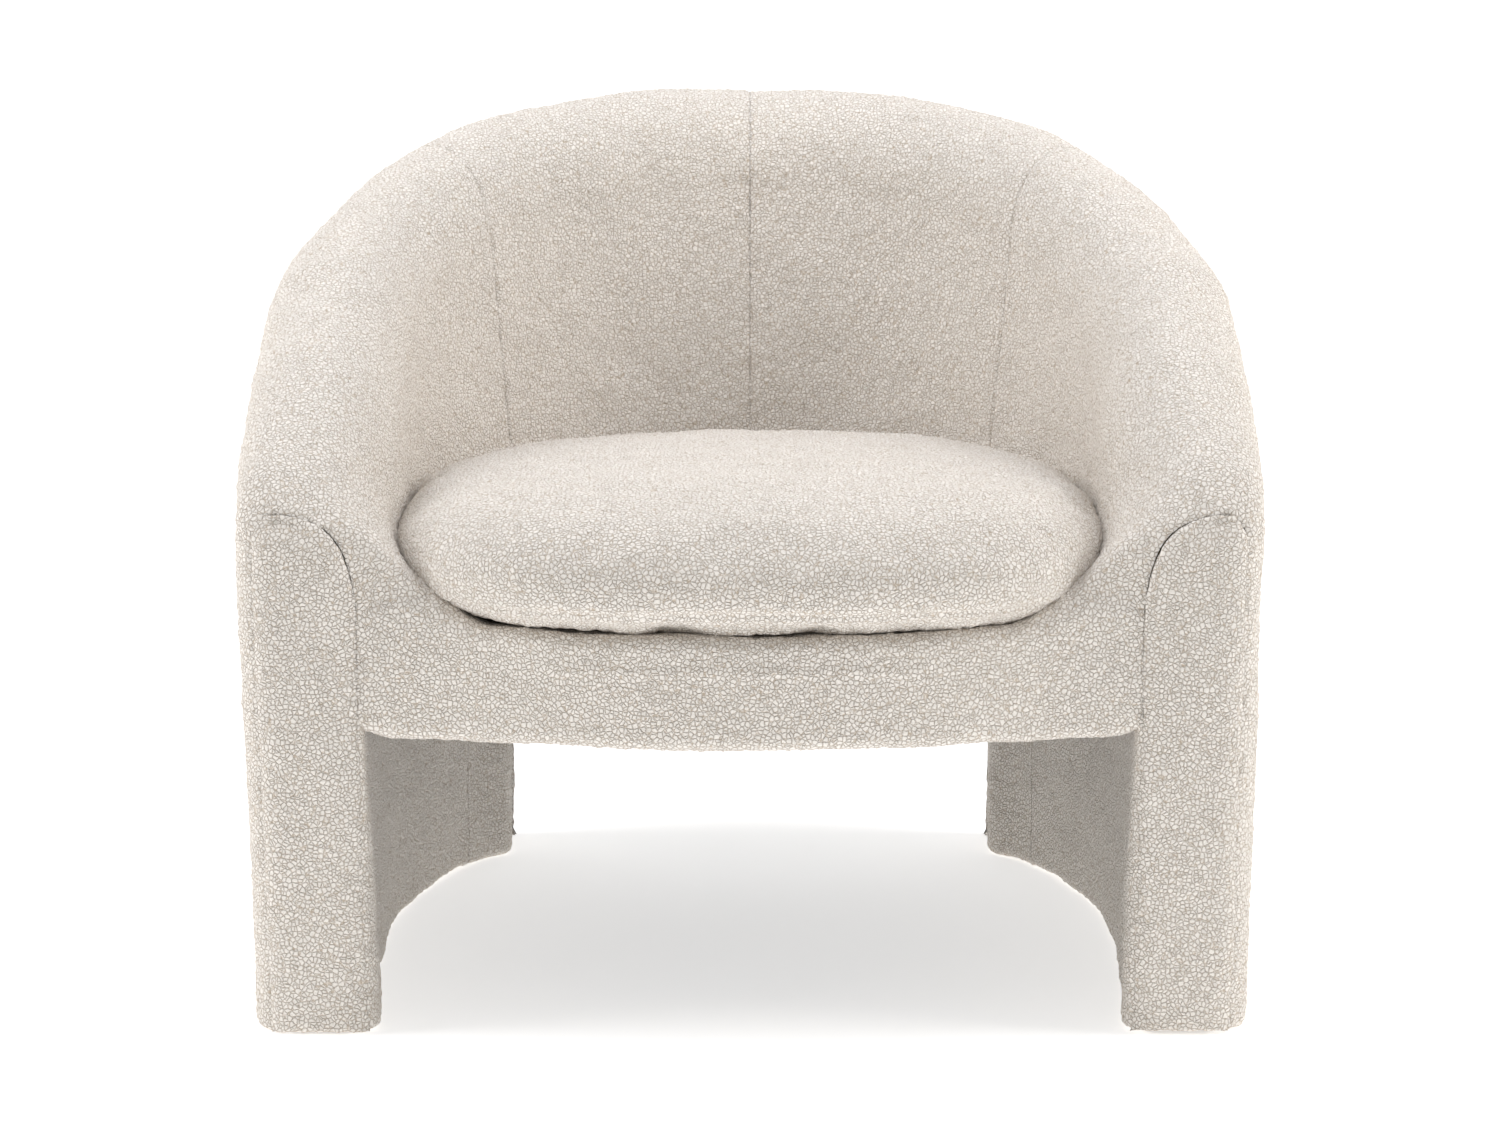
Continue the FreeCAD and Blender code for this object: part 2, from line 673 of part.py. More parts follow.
def build_springs():
    """Zigzag springs from the front rail to the rear rail, and the clips that hold their ends."""
    springs = []
    clips = []
    long = dim("clip_long")
    wide = dim("clip_wide")
    spacing = dim("spring_spacing")
    middle = dim("front_plane") - dim("apron_bow") + dim("apron_radius")
    rail_radius = dim("apron_radius") - OUTER_FOAM_END - 8 - dim("rail_thick")
    for row in SPRING_ROWS:
        x = row * spacing
        front_y = middle - math.sqrt(rail_radius**2 - x**2) - 8
        turn = math.asin(abs(x) / (dim("belt_half_width") - 66))
        back_y = dim("front_plane") + dim("side_length") + (dim("rear_radius") - 66) * math.cos(turn) + 8
        spring, end = spring_wire(x, front_y, back_y, SPRING_HEIGHT)
        springs.append(spring)
        for y in (front_y, end.y):
            corner = V(x - long / 2, y - wide / 2, SPRING_HEIGHT + dim("spring_wire") + 0.1)
            clips.append(Part.makeBox(long, wide, dim("clip_thick"), corner))
    keep_shape("seat_springs", Part.makeCompound(springs))
    keep_shape("spring_clips", Part.makeCompound(clips))


# ---------------------------------------------------------------- loose seat cushion

def cushion_ring(inset, height, count=28):
    """Plan of the cushion at a height: half an ellipse behind, a fuller curve in front."""
    middle = dim("front_plane") + dim("cushion_middle")
    half = dim("cushion_half") - inset
    behind = dim("cushion_back") - dim("cushion_middle") - inset
    ahead = dim("cushion_middle") + dim("cushion_nose") - inset
    points = []
    for k in range(count):
        angle = 2 * math.pi * k / count
        power = 1.0 if math.sin(angle) >= 0 else CUSHION_FRONT_POWER
        across = math.copysign(abs(math.cos(angle)) ** power, math.cos(angle))
        along = math.copysign(abs(math.sin(angle)) ** power, math.sin(angle))
        points.append(V(half * across, middle + (behind if along >= 0 else ahead) * along, height))
    curve = Part.BSplineCurve()
    curve.interpolate(points, PeriodicFlag=True)
    return Part.Wire([curve.toShape()])


CUSHION_FRONT_POWER = 0.64
CUSHION_LEVELS = ((16, 0.0), (5, 0.12), (0, 0.36), (4, 0.60), (20, 0.80), (58, 0.93), (120, 1.0))


def cushion_solid(margin):
    """A crowned cushion lofted through plan rings; each level is an inset and a share of the height."""
    low = dim("cushion_bottom") + margin
    high = dim("cushion_top") - margin
    rings = [cushion_ring(inset + margin, low + (high - low) * share) for inset, share in CUSHION_LEVELS]
    return Part.makeLoft(rings, True, False)


def build_cushion():
    """Loose cushion: sewn cover, foam core and the zip on its underside."""
    cover = cushion_solid(0).cut(cushion_solid(dim("cover_thick")))
    keep_shape("cushion_cover", cover)
    keep_shape("cushion_foam", cushion_solid(dim("cover_thick") + dim("layer_gap") + 1.0))
    low = dim("cushion_bottom") - dim("zip_thick") - 0.3
    near = dim("front_plane") + dim("zip_behind")
    zip_box("cushion_zip", "zip_long", "zip_wide", V(-dim("zip_long") / 2, near, low))
    beside = near + (dim("zip_wide") - dim("slider_wide")) / 2
    zip_box("cushion_zip_slider", "slider_long", "slider_wide", V(dim("zip_long") / 2 + 1, beside, low))


def zip_box(label, length, width, corner):
    """A flat rectangular piece of the zip, its sizes bound to the sheet."""
    piece = doc.addObject("Part::Box", label)
    piece.setExpression("Length", "Dimensions." + length)
    piece.setExpression("Width", "Dimensions." + width)
    piece.setExpression("Height", "Dimensions.zip_thick")
    piece.Placement.Base = corner
    return keep(label, piece)


build_shell_layers()
build_legs()
build_leg_timber()
build_glides()
build_back_timber()
build_seat_frame()
build_arm_fronts()
build_apron()
build_deck()
build_springs()
build_cushion()
doc.recompute()

for obj in doc.Objects:
    if "Invalid" in obj.State or "Error" in obj.State:
        raise RuntimeError("%s did not build: %s" % (obj.Label, obj.State))
os.makedirs("parts", exist_ok=True)
for obj in SUBPARTS:
    shape = obj.Shape
    if shape.isNull() or not shape.isValid():
        raise RuntimeError("%s has no sound shape" % obj.Label)
    print("%-26s %10.1f cm3" % (obj.Label, shape.Volume / 1000))
for obj in SUBPARTS:
    obj.Shape.exportStep("parts/%s.step" % obj.Label)
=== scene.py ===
"""A barrel armchair in cream sherpa: covers, loose cushion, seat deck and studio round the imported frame.

Metres, +Z up, the sitter faces -Y. A station number runs round the horseshoe plan: 0 at the middle of the
back, 1 at the widest point of a side and 2 at the front plane of the arms. Depth is measured inwards from
the outer face. Right-hand pieces are worked out and the left-hand ones are their mirror.
"""
import logging
import math
from dataclasses import dataclass, field
from enum import Enum
from typing import Optional, Sequence

import bmesh
import bpy
import numpy as np
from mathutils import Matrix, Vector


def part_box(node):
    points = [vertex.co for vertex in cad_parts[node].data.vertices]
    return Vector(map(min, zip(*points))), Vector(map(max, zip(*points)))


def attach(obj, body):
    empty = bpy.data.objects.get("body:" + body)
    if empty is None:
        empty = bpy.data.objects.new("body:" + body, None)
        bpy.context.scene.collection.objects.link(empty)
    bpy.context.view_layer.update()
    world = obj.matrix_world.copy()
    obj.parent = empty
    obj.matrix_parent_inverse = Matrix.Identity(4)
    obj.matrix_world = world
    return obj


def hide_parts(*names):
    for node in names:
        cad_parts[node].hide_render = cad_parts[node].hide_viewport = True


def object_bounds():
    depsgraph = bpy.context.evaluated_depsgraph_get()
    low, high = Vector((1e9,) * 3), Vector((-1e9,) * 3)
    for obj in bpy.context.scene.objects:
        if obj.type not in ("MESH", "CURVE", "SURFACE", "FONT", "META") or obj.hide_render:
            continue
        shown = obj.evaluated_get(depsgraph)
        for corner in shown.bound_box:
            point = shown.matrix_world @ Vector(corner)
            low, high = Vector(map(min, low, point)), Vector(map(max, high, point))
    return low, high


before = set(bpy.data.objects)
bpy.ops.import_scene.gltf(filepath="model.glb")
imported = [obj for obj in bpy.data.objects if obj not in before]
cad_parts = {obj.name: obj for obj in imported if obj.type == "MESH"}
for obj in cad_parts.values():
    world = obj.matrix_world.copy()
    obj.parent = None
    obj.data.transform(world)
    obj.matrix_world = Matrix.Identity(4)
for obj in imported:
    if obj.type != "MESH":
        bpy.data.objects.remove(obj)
CAD_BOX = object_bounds()
LOG = logging.getLogger("armchair")

FINE_STEP = 4
QUARTER_TURN = math.pi / 2


class Side(Enum):
    """A side of the chair, as the sign of its x."""

    LEFT = -1
    RIGHT = 1

    @property
    def word(self) -> str:
        """The side's name in node names."""
        return self.name.lower()


class Body(Enum):
    """The moving bodies of the frame."""

    FRAME = "frame"
    CUSHION = "seat_cushion"


class Edge(Enum):
    """The four edges of a grid: first and last along each of its two directions."""

    START = "start"
    END = "end"
    LOW = "low"
    HIGH = "high"


# ------------------------------------------------------------------------------------------ array helpers

def smooth_step(value: np.ndarray) -> np.ndarray:
    """0 below 0, 1 above 1, and 3v^2 - 2v^3 between."""
    v = np.clip(value, 0.0, 1.0)
    return v * v * (3.0 - 2.0 * v)


def unit(vectors: np.ndarray) -> np.ndarray:
    """Each vector divided by its length."""
    return vectors / np.maximum(np.linalg.norm(vectors, axis=-1, keepdims=True), 1e-12)


def grid_normals(grid: np.ndarray) -> np.ndarray:
    """The cross product of a grid's two directions at each point."""
    return unit(np.cross(np.gradient(grid, axis=0), np.gradient(grid, axis=1)))


def run_lengths(grid: np.ndarray, axis: int) -> np.ndarray:
    """Length run from the first point to each point, along one direction of a grid.

    Args:
        grid: points, rows by columns by 3.
        axis: 0 or 1.

    Returns:
        Lengths in metres, rows by columns: the sum of the straight steps up to each point.
    """
    steps = np.linalg.norm(np.diff(grid, axis=axis), axis=-1)
    pad = [(1, 0), (0, 0)] if axis == 0 else [(0, 0), (1, 0)]
    return np.cumsum(np.pad(steps, pad), axis=axis)


def resample_rows(grid: np.ndarray, shares: np.ndarray) -> np.ndarray:
    """Places points along every row of a grid at stated shares of the row's own length.

    The rows are laid end to end on one number line, two units apart, so that one interpolation does all.

    Args:
        grid: points, rows by samples by 3.
        shares: rising numbers from 0 to 1.

    Returns:
        Points, rows by len(shares) by 3.
    """
    runs = run_lengths(grid, 1)
    runs = runs / np.maximum(runs[:, -1:], 1e-12)
    start = 2.0 * np.arange(grid.shape[0])[:, None]
    line = (runs + start).ravel()
    wanted = (shares[None, :] + start).ravel()
    parts = [np.interp(wanted, line, grid[..., axis].ravel()) for axis in range(3)]
    return np.stack(parts, axis=-1).reshape(grid.shape[0], len(shares), 3)


def shares_for(length: float, pitch: float, fine: float = 0.010, ratio: float = 0.5) -> np.ndarray:
    """Shares of a length, closer together near both ends, where the seams are.

    The density is 1 in the middle and 1 / ratio within a fine zone at each end; the shares are where its
    running total reaches equal parts. There are always four steps for each step of a coarse backing.

    Args:
        length: the length in metres.
        pitch: the step in the middle, in metres.
        fine: the length of each end's fine zone.
        ratio: the step in the fine zone over the pitch.

    Returns:
        Rising numbers from 0 to 1.
    """
    dense = np.linspace(0.0, 1.0, 800)
    near = np.minimum(dense, 1.0 - dense) * length
    density = 1.0 + (1.0 / ratio - 1.0) * (1.0 - smooth_step(near / fine - 0.5))
    total = np.concatenate([[0.0], np.cumsum((density[1:] + density[:-1]) / 2)])
    total /= total[-1]
    mean = np.mean(density)
    count = FINE_STEP * max(2, round(length * mean / pitch / FINE_STEP))
    return np.interp(np.linspace(0.0, 1.0, count + 1), total, dense)


def even_grid(dense: np.ndarray, pitch: float) -> np.ndarray:
    """A grid resampled by length in both directions, finer along its edges.

    Args:
        dense: points, rows by columns by 3.
        pitch: the step in the middle, in metres.

    Returns:
        Points whose counts are 4k + 1 in both directions.
    """
    across = float(np.max(run_lengths(dense, 1)[:, -1]))
    grid = resample_rows(dense, shares_for(across, pitch))
    along = float(np.max(run_lengths(grid, 0)[-1, :]))
    turned = np.swapaxes(grid, 0, 1)
    return np.swapaxes(resample_rows(turned, shares_for(along, pitch)), 0, 1)


@dataclass(frozen=True)
class Ripple:
    """Unevenness of a soft surface: a sum of plane waves with seeded directions and phases.

    The height at a point p is height * sqrt(2 / n) * sum of cos(2 pi * d . p / wave + phase), where each d
    is a direction of length near 1.
    """

    wave: float
    height: float
    seed: int
    count: int = 22

    def at(self, points: np.ndarray) -> np.ndarray:
        """Heights at points, in metres."""
        random = np.random.default_rng(self.seed)
        turns = unit(random.normal(size=(self.count, 3))) * random.uniform(0.75, 1.3, (self.count, 1))
        phases = random.uniform(0.0, 2 * math.pi, self.count)
        angles = points.reshape(-1, 3) @ (turns.T * (2 * math.pi / self.wave)) + phases
        total = np.cos(angles).sum(axis=1) * math.sqrt(2.0 / self.count)
        return self.height * total.reshape(points.shape[:-1])


CLOTH_RIPPLES = (
    Ripple(wave=0.150, height=0.00080, seed=11),
    Ripple(wave=0.060, height=0.00035, seed=12),
)
CURL_RIPPLES = (
    Ripple(wave=0.0105, height=0.00026, seed=21, count=30),
    Ripple(wave=0.0066, height=0.00022, seed=22, count=30),
)


def curled(points: np.ndarray) -> np.ndarray:
    """Height of the fleece's uneven stuffing and curls at points."""
    return sum(ripple.at(points) for ripple in CLOTH_RIPPLES + CURL_RIPPLES)


# ------------------------------------------------------------------------------------------ mesh helpers

def new_object(name: str, vertices: np.ndarray, loops: np.ndarray, starts: np.ndarray) -> bpy.types.Object:
    """Puts arrays into a new mesh object at the origin.

    Args:
        name: the piece's name.
        vertices: points by 3.
        loops: vertex numbers of all faces, one face after another.
        starts: where each face begins in loops.

    Returns:
        The object, linked to the scene.
    """
    mesh = bpy.data.meshes.new(name)
    mesh.vertices.add(len(vertices))
    mesh.vertices.foreach_set("co", np.ascontiguousarray(vertices, dtype=np.float32).ravel())
    mesh.loops.add(len(loops))
    mesh.loops.foreach_set("vertex_index", loops.astype(np.int32))
    mesh.polygons.add(len(starts))
    mesh.polygons.foreach_set("loop_start", starts.astype(np.int32))
    mesh.polygons.foreach_set("use_smooth", np.ones(len(starts), dtype=bool))
    mesh.update(calc_edges=True)
    mesh.validate()
    piece = bpy.data.objects.new(name, mesh)
    bpy.context.scene.collection.objects.link(piece)
    return piece


def quads(numbers: np.ndarray) -> np.ndarray:
    """Four-cornered faces of a grid of vertex numbers, one per row."""
    corners = [numbers[:-1, :-1], numbers[1:, :-1], numbers[1:, 1:], numbers[:-1, 1:]]
    return np.stack(corners, axis=-1).reshape(-1, 4)


def border_faces(fine: np.ndarray, coarse: np.ndarray) -> np.ndarray:
    """Faces between an edge of a fine sheet and the same edge of its coarse backing.

    Args:
        fine: vertex numbers of the fine edge, 4k + 1 of them.
        coarse: vertex numbers of the coarse edge, k + 1 of them.

    Returns:
        Seven vertex numbers for each face: two of the backing, then five of the fine sheet backwards.
    """
    first = np.arange(len(coarse) - 1) * FINE_STEP
    ahead = [fine[first + step] for step in range(FINE_STEP, -1, -1)]
    return np.stack([coarse[:-1], coarse[1:]] + ahead, axis=-1)


def closed_panel(name: str, outer: np.ndarray, inner: np.ndarray, flip: bool) -> bpy.types.Object:
    """A padded panel as one closed form: a fine outer sheet, a coarse backing and a strip round the edge.

    Args:
        name: the piece's name.
        outer: the outer sheet, 4a + 1 by 4b + 1 by 3.
        inner: the backing, a + 1 by b + 1 by 3.
        flip: whether the outer grid's cross product points inwards.

    Returns:
        The object.
    """
    top = np.arange(outer.shape[0] * outer.shape[1]).reshape(outer.shape[:2])
    under = np.arange(inner.shape[0] * inner.shape[1]).reshape(inner.shape[:2]) + top.size
    flat = [quads(top), quads(under)[:, ::-1]]
    strips = [
        border_faces(top[:, 0], under[:, 0])[:, ::-1],
        border_faces(top[:, -1], under[:, -1]),
        border_faces(top[0, :], under[0, :]),
        border_faces(top[-1, :], under[-1, :])[:, ::-1],
    ]
    faces = flat + strips
    if flip:
        faces = [face[:, ::-1] for face in faces]
    loops = np.concatenate([face.ravel() for face in faces])
    sizes = np.concatenate([np.full(len(face), face.shape[1]) for face in faces])
    starts = np.concatenate([[0], np.cumsum(sizes)[:-1]])
    vertices = np.concatenate([outer.reshape(-1, 3), inner.reshape(-1, 3)])
    return new_object(name, vertices, loops, starts)


@dataclass
class Panel:
    """A sewn panel of the upholstery, before it becomes a mesh.

    Its outer sheet is the grid, raised by the fleece's ripples and sunk along sewn edges. The sink at a
    distance d from a seam is depth * (1 - d / width)^2 within the seam's width.
    """

    name: str
    grid: np.ndarray
    seams: Sequence[Edge]
    stands_for: Sequence[str]
    flip: bool
    seam_depth: float = 0.0022
    seam_width: float = 0.0055
    thickness: float = 0.003
    fill: float = 0.7

    def sink(self) -> np.ndarray:
        """How far each point is drawn in by the seams, in metres."""
        along = run_lengths(self.grid, 0)
        across = run_lengths(self.grid, 1)
        reach = {
            Edge.START: along,
            Edge.END: along[-1:, :] - along,
            Edge.LOW: across,
            Edge.HIGH: across[:, -1:] - across,
        }
        total = np.zeros(self.grid.shape[:2])
        for edge in self.seams:
            total = np.maximum(total, np.clip(1.0 - reach[edge] / self.seam_width, 0.0, 1.0) ** 2)
            pucker = Ripple(wave=0.034, height=0.2 * self.seam_depth, seed=31).at(self.grid)
            total = total + pucker / self.seam_depth * np.exp(-reach[edge] / 0.016)
        return total * self.seam_depth

    def build(self) -> bpy.types.Object:
        """Makes the panel's mesh."""
        sign = -1.0 if self.flip else 1.0
        normals = grid_normals(self.grid) * sign
        lift = curled(self.grid) - self.sink()
        outer = self.grid + normals * lift[..., None]
        outer[..., 2] = np.maximum(outer[..., 2], 0.0004)
        coarse = self.grid[::FINE_STEP, ::FINE_STEP] - normals[::FINE_STEP, ::FINE_STEP] * self.thickness
        coarse[..., 2] = np.maximum(coarse[..., 2], 0.0006)
        return closed_panel(self.name, outer, coarse, self.flip)

    def mirror(self, name: str, stands_for: Sequence[str]) -> "Panel":
        """The same panel on the other side of the chair."""
        turned = self.grid * np.array([-1.0, 1.0, 1.0])
        return Panel(name, turned, self.seams, stands_for, not self.flip, self.seam_depth,
                     self.seam_width, self.thickness, self.fill)


# ------------------------------------------------------------------------------------------ materials

def linear(code: str) -> tuple[float, float, float, float]:
    """An sRGB hex colour as linear red, green, blue and a full alpha."""
    parts = [int(code[k:k + 2], 16) / 255 for k in (1, 3, 5)]
    bright = [c / 12.92 if c <= 0.04045 else ((c + 0.055) / 1.055) ** 2.4 for c in parts]
    return (bright[0], bright[1], bright[2], 1.0)


def add_node(tree: bpy.types.NodeTree, kind: str, settings: Optional[dict] = None,
             inputs: Optional[dict] = None) -> bpy.types.Node:
    """Adds a shader node.

    Args:
        tree: the node tree.
        kind: the node's type name.
        settings: its properties.
        inputs: for each input's name or number, a value, or an output socket to link from.

    Returns:
        The node.
    """
    node = tree.nodes.new(kind)
    for key, value in (settings or {}).items():
        setattr(node, key, value)
    for key, value in (inputs or {}).items():
        if isinstance(value, bpy.types.NodeSocket):
            tree.links.new(value, node.inputs[key])
        else:
            node.inputs[key].default_value = value
    return node


def ramp(tree: bpy.types.NodeTree, source: bpy.types.NodeSocket,
         stops: Sequence[tuple[float, str]]) -> bpy.types.NodeSocket:
    """A colour ramp through sRGB colours at stated places.

    Args:
        tree: the node tree.
        source: what drives the ramp.
        stops: place and hex colour of each stop.

    Returns:
        The ramp's colour output.
    """
    node = add_node(tree, "ShaderNodeValToRGB", inputs={"Fac": source})
    elements = node.color_ramp.elements
    while len(elements) < len(stops):
        elements.new(0.5)
    for element, (place, code) in zip(elements, stops):
        element.position = place
        element.color = linear(code)
    return node.outputs["Color"]


def new_material(name: str) -> tuple[bpy.types.Material, bpy.types.NodeTree, bpy.types.Node]:
    """An empty material with its tree and its Principled shader."""
    material = bpy.data.materials.new(name)
    material.use_nodes = True
    tree = material.node_tree
    tree.nodes.clear()
    shader = add_node(tree, "ShaderNodeBsdfPrincipled")
    add_node(tree, "ShaderNodeOutputMaterial", inputs={"Surface": shader.outputs[0]})
    return material, tree, shader


@dataclass(frozen=True)
class SherpaFleece:
    """Polyester sherpa, a knit pile tumbled into small tight curls.

    Wholly matt, with a faint sheen where fibres stand on end. Each curl is a soft bead about 3 mm across;
    light is lost in the thin creases between them, and that shade is painted into the colour as a warm grey.
    """

    name: str = "sherpa_fleece"
    curl: float = 0.0033
    tuft: float = 0.0019
    bright: str = "#F6F0E8"
    middle: str = "#EDE4D9"
    # painted shade: the warm grey that stands in for the shade in the creases between the curls
    painted_crease_shade: str = "#C6B7A5"

    def build(self) -> bpy.types.Material:
        """Makes the material."""
        material, tree, shader = new_material(self.name)
        place = add_node(tree, "ShaderNodeTexCoord").outputs["Object"]
        warp = add_node(tree, "ShaderNodeTexNoise", inputs={
            "Vector": place, "Scale": 0.85 / self.curl, "Detail": 2.0, "Roughness": 0.6})
        centred = add_node(tree, "ShaderNodeVectorMath", {"operation": "SUBTRACT"},
                           {0: warp.outputs["Color"], 1: (0.5, 0.5, 0.5)})
        bent = add_node(tree, "ShaderNodeVectorMath", {"operation": "MULTIPLY_ADD"},
                        {0: centred.outputs[0], 1: (self.curl * 0.6,) * 3, 2: place})
        curls = add_node(tree, "ShaderNodeTexVoronoi", {"feature": "DISTANCE_TO_EDGE"}, {
            "Vector": bent.outputs[0], "Scale": 1 / self.curl, "Randomness": 1.0})
        domes = add_node(tree, "ShaderNodeMapRange", {"interpolation_type": "SMOOTHERSTEP"}, {
            "Value": curls.outputs["Distance"], "From Min": -0.10, "From Max": 0.24})
        tufts = add_node(tree, "ShaderNodeTexVoronoi", {"feature": "F1"}, {
            "Vector": bent.outputs[0], "Scale": 1 / self.tuft, "Randomness": 1.0})
        height = add_node(tree, "ShaderNodeMath", {"operation": "MULTIPLY_ADD"},
                          {0: tufts.outputs["Distance"], 1: -0.35, 2: domes.outputs["Result"]})
        # painted shade: the colour darkens from the curls' tops through the middle tone into the creases
        colour = ramp(tree, height.outputs[0], (
            (0.0, self.painted_crease_shade), (0.20, self.middle), (0.62, self.bright)))
        patch = add_node(tree, "ShaderNodeTexNoise", inputs={
            "Vector": place, "Scale": 38.0, "Detail": 3.0, "Roughness": 0.55})
        shade = add_node(tree, "ShaderNodeMapRange", inputs={
            "Value": patch.outputs["Fac"], "From Min": 0.3, "From Max": 0.7, "To Min": 0.965,
            "To Max": 1.0})
        mixed = add_node(tree, "ShaderNodeVectorMath", {"operation": "SCALE"},
                         {0: colour, "Scale": shade.outputs["Result"]})
        bump = add_node(tree, "ShaderNodeBump", inputs={
            "Strength": 1.0, "Distance": self.curl * 0.30, "Height": height.outputs[0]})
        tree.links.new(mixed.outputs[0], shader.inputs["Base Color"])
        tree.links.new(bump.outputs["Normal"], shader.inputs["Normal"])
        shader.inputs["Roughness"].default_value = 1.0
        shader.inputs["Specular IOR Level"].default_value = 0.12
        shader.inputs["Sheen Weight"].default_value = 0.10
        shader.inputs["Sheen Roughness"].default_value = 0.6
        return material


@dataclass(frozen=True)
class WovenCloth:
    """A plain-woven or spun cloth: threads at right angles, matt, each crossing a small bead."""

    name: str
    light: str
    dark: str
    thread: float
    rough: float = 0.9

    def build(self) -> bpy.types.Material:
        """Makes the material."""
        material, tree, shader = new_material(self.name)
        place = add_node(tree, "ShaderNodeTexCoord").outputs["Object"]
        waves = [add_node(tree, "ShaderNodeTexWave", {"wave_type": "BANDS", "bands_direction": way}, {
            "Vector": place, "Scale": 1 / (self.thread * 20), "Distortion": 0.6, "Detail": 1.0,
            "Detail Scale": 2.0}) for way in ("X", "Y")]
        weave = add_node(tree, "ShaderNodeMath", {"operation": "MULTIPLY"},
                         {0: waves[0].outputs["Fac"], 1: waves[1].outputs["Fac"]})
        fuzz = add_node(tree, "ShaderNodeTexNoise", inputs={"Vector": place, "Scale": 260.0, "Detail": 3.0})
        blend = add_node(tree, "ShaderNodeMath", {"operation": "MULTIPLY_ADD"},
                         {0: fuzz.outputs["Fac"], 1: 0.5, 2: weave.outputs[0]})
        colour = ramp(tree, blend.outputs[0], ((0.15, self.dark), (0.85, self.light)))
        bump = add_node(tree, "ShaderNodeBump", inputs={
            "Strength": 0.5, "Distance": self.thread * 0.3, "Height": blend.outputs[0]})
        tree.links.new(colour, shader.inputs["Base Color"])
        tree.links.new(bump.outputs["Normal"], shader.inputs["Normal"])
        shader.inputs["Roughness"].default_value = self.rough
        shader.inputs["Specular IOR Level"].default_value = 0.2
        return material


@dataclass(frozen=True)
class SawnWood:
    """Sawn or peeled wood: long soft grain with darker late wood, dry and unvarnished."""

    name: str
    early: str
    late: str
    grain: float
    rough: float = 0.7
    ring_stretch: tuple[float, float, float] = (1.0, 1.0, 0.12)

    def build(self) -> bpy.types.Material:
        """Makes the material."""
        material, tree, shader = new_material(self.name)
        place = add_node(tree, "ShaderNodeTexCoord").outputs["Object"]
        laid = add_node(tree, "ShaderNodeMapping", inputs={"Vector": place, "Scale": self.ring_stretch})
        grain = add_node(tree, "ShaderNodeTexNoise", inputs={
            "Vector": laid.outputs[0], "Scale": 1 / self.grain, "Detail": 5.0, "Roughness": 0.62,
            "Distortion": 0.8})
        fibres = add_node(tree, "ShaderNodeTexNoise", inputs={
            "Vector": laid.outputs[0], "Scale": 6 / self.grain, "Detail": 2.0})
        blend = add_node(tree, "ShaderNodeMath", {"operation": "MULTIPLY_ADD"},
                         {0: fibres.outputs["Fac"], 1: 0.25, 2: grain.outputs["Fac"]})
        colour = ramp(tree, blend.outputs[0], ((0.45, self.late), (0.62, self.early), (0.85, self.early)))
        bump = add_node(tree, "ShaderNodeBump", inputs={
            "Strength": 0.4, "Distance": 0.0004, "Height": blend.outputs[0]})
        tree.links.new(colour, shader.inputs["Base Color"])
        tree.links.new(bump.outputs["Normal"], shader.inputs["Normal"])
        shader.inputs["Roughness"].default_value = self.rough
        return material


@dataclass(frozen=True)
class SteelWire:
    """Drawn or pressed steel with a thin finish: metal, lightly scratched, roughness from the drawing."""

    name: str
    colour: str
    worn: str
    rough: float

    def build(self) -> bpy.types.Material:
        """Makes the material."""
        material, tree, shader = new_material(self.name)
        place = add_node(tree, "ShaderNodeTexCoord").outputs["Object"]
        marks = add_node(tree, "ShaderNodeTexNoise", inputs={
            "Vector": place, "Scale": 900.0, "Detail": 4.0, "Roughness": 0.7})
        colour = ramp(tree, marks.outputs["Fac"], ((0.40, self.colour), (0.70, self.worn)))
        rough = add_node(tree, "ShaderNodeMapRange", inputs={
            "Value": marks.outputs["Fac"], "To Min": self.rough - 0.08, "To Max": self.rough + 0.15})
        tree.links.new(colour, shader.inputs["Base Color"])
        tree.links.new(rough.outputs["Result"], shader.inputs["Roughness"])
        shader.inputs["Metallic"].default_value = 1.0
        return material


@dataclass(frozen=True)
class MouldedPlastic:
    """Moulded polyethylene: satin, with a fine grain from the tool."""

    name: str
    colour: str
    shade: str
    rough: float = 0.45

    def build(self) -> bpy.types.Material:
        """Makes the material."""
        material, tree, shader = new_material(self.name)
        place = add_node(tree, "ShaderNodeTexCoord").outputs["Object"]
        grain = add_node(tree, "ShaderNodeTexNoise", inputs={
            "Vector": place, "Scale": 1400.0, "Detail": 2.0})
        colour = ramp(tree, grain.outputs["Fac"], ((0.35, self.shade), (0.65, self.colour)))
        bump = add_node(tree, "ShaderNodeBump", inputs={
            "Strength": 0.3, "Distance": 0.0001, "Height": grain.outputs["Fac"]})
        tree.links.new(colour, shader.inputs["Base Color"])
        tree.links.new(bump.outputs["Normal"], shader.inputs["Normal"])
        shader.inputs["Roughness"].default_value = self.rough
        return material


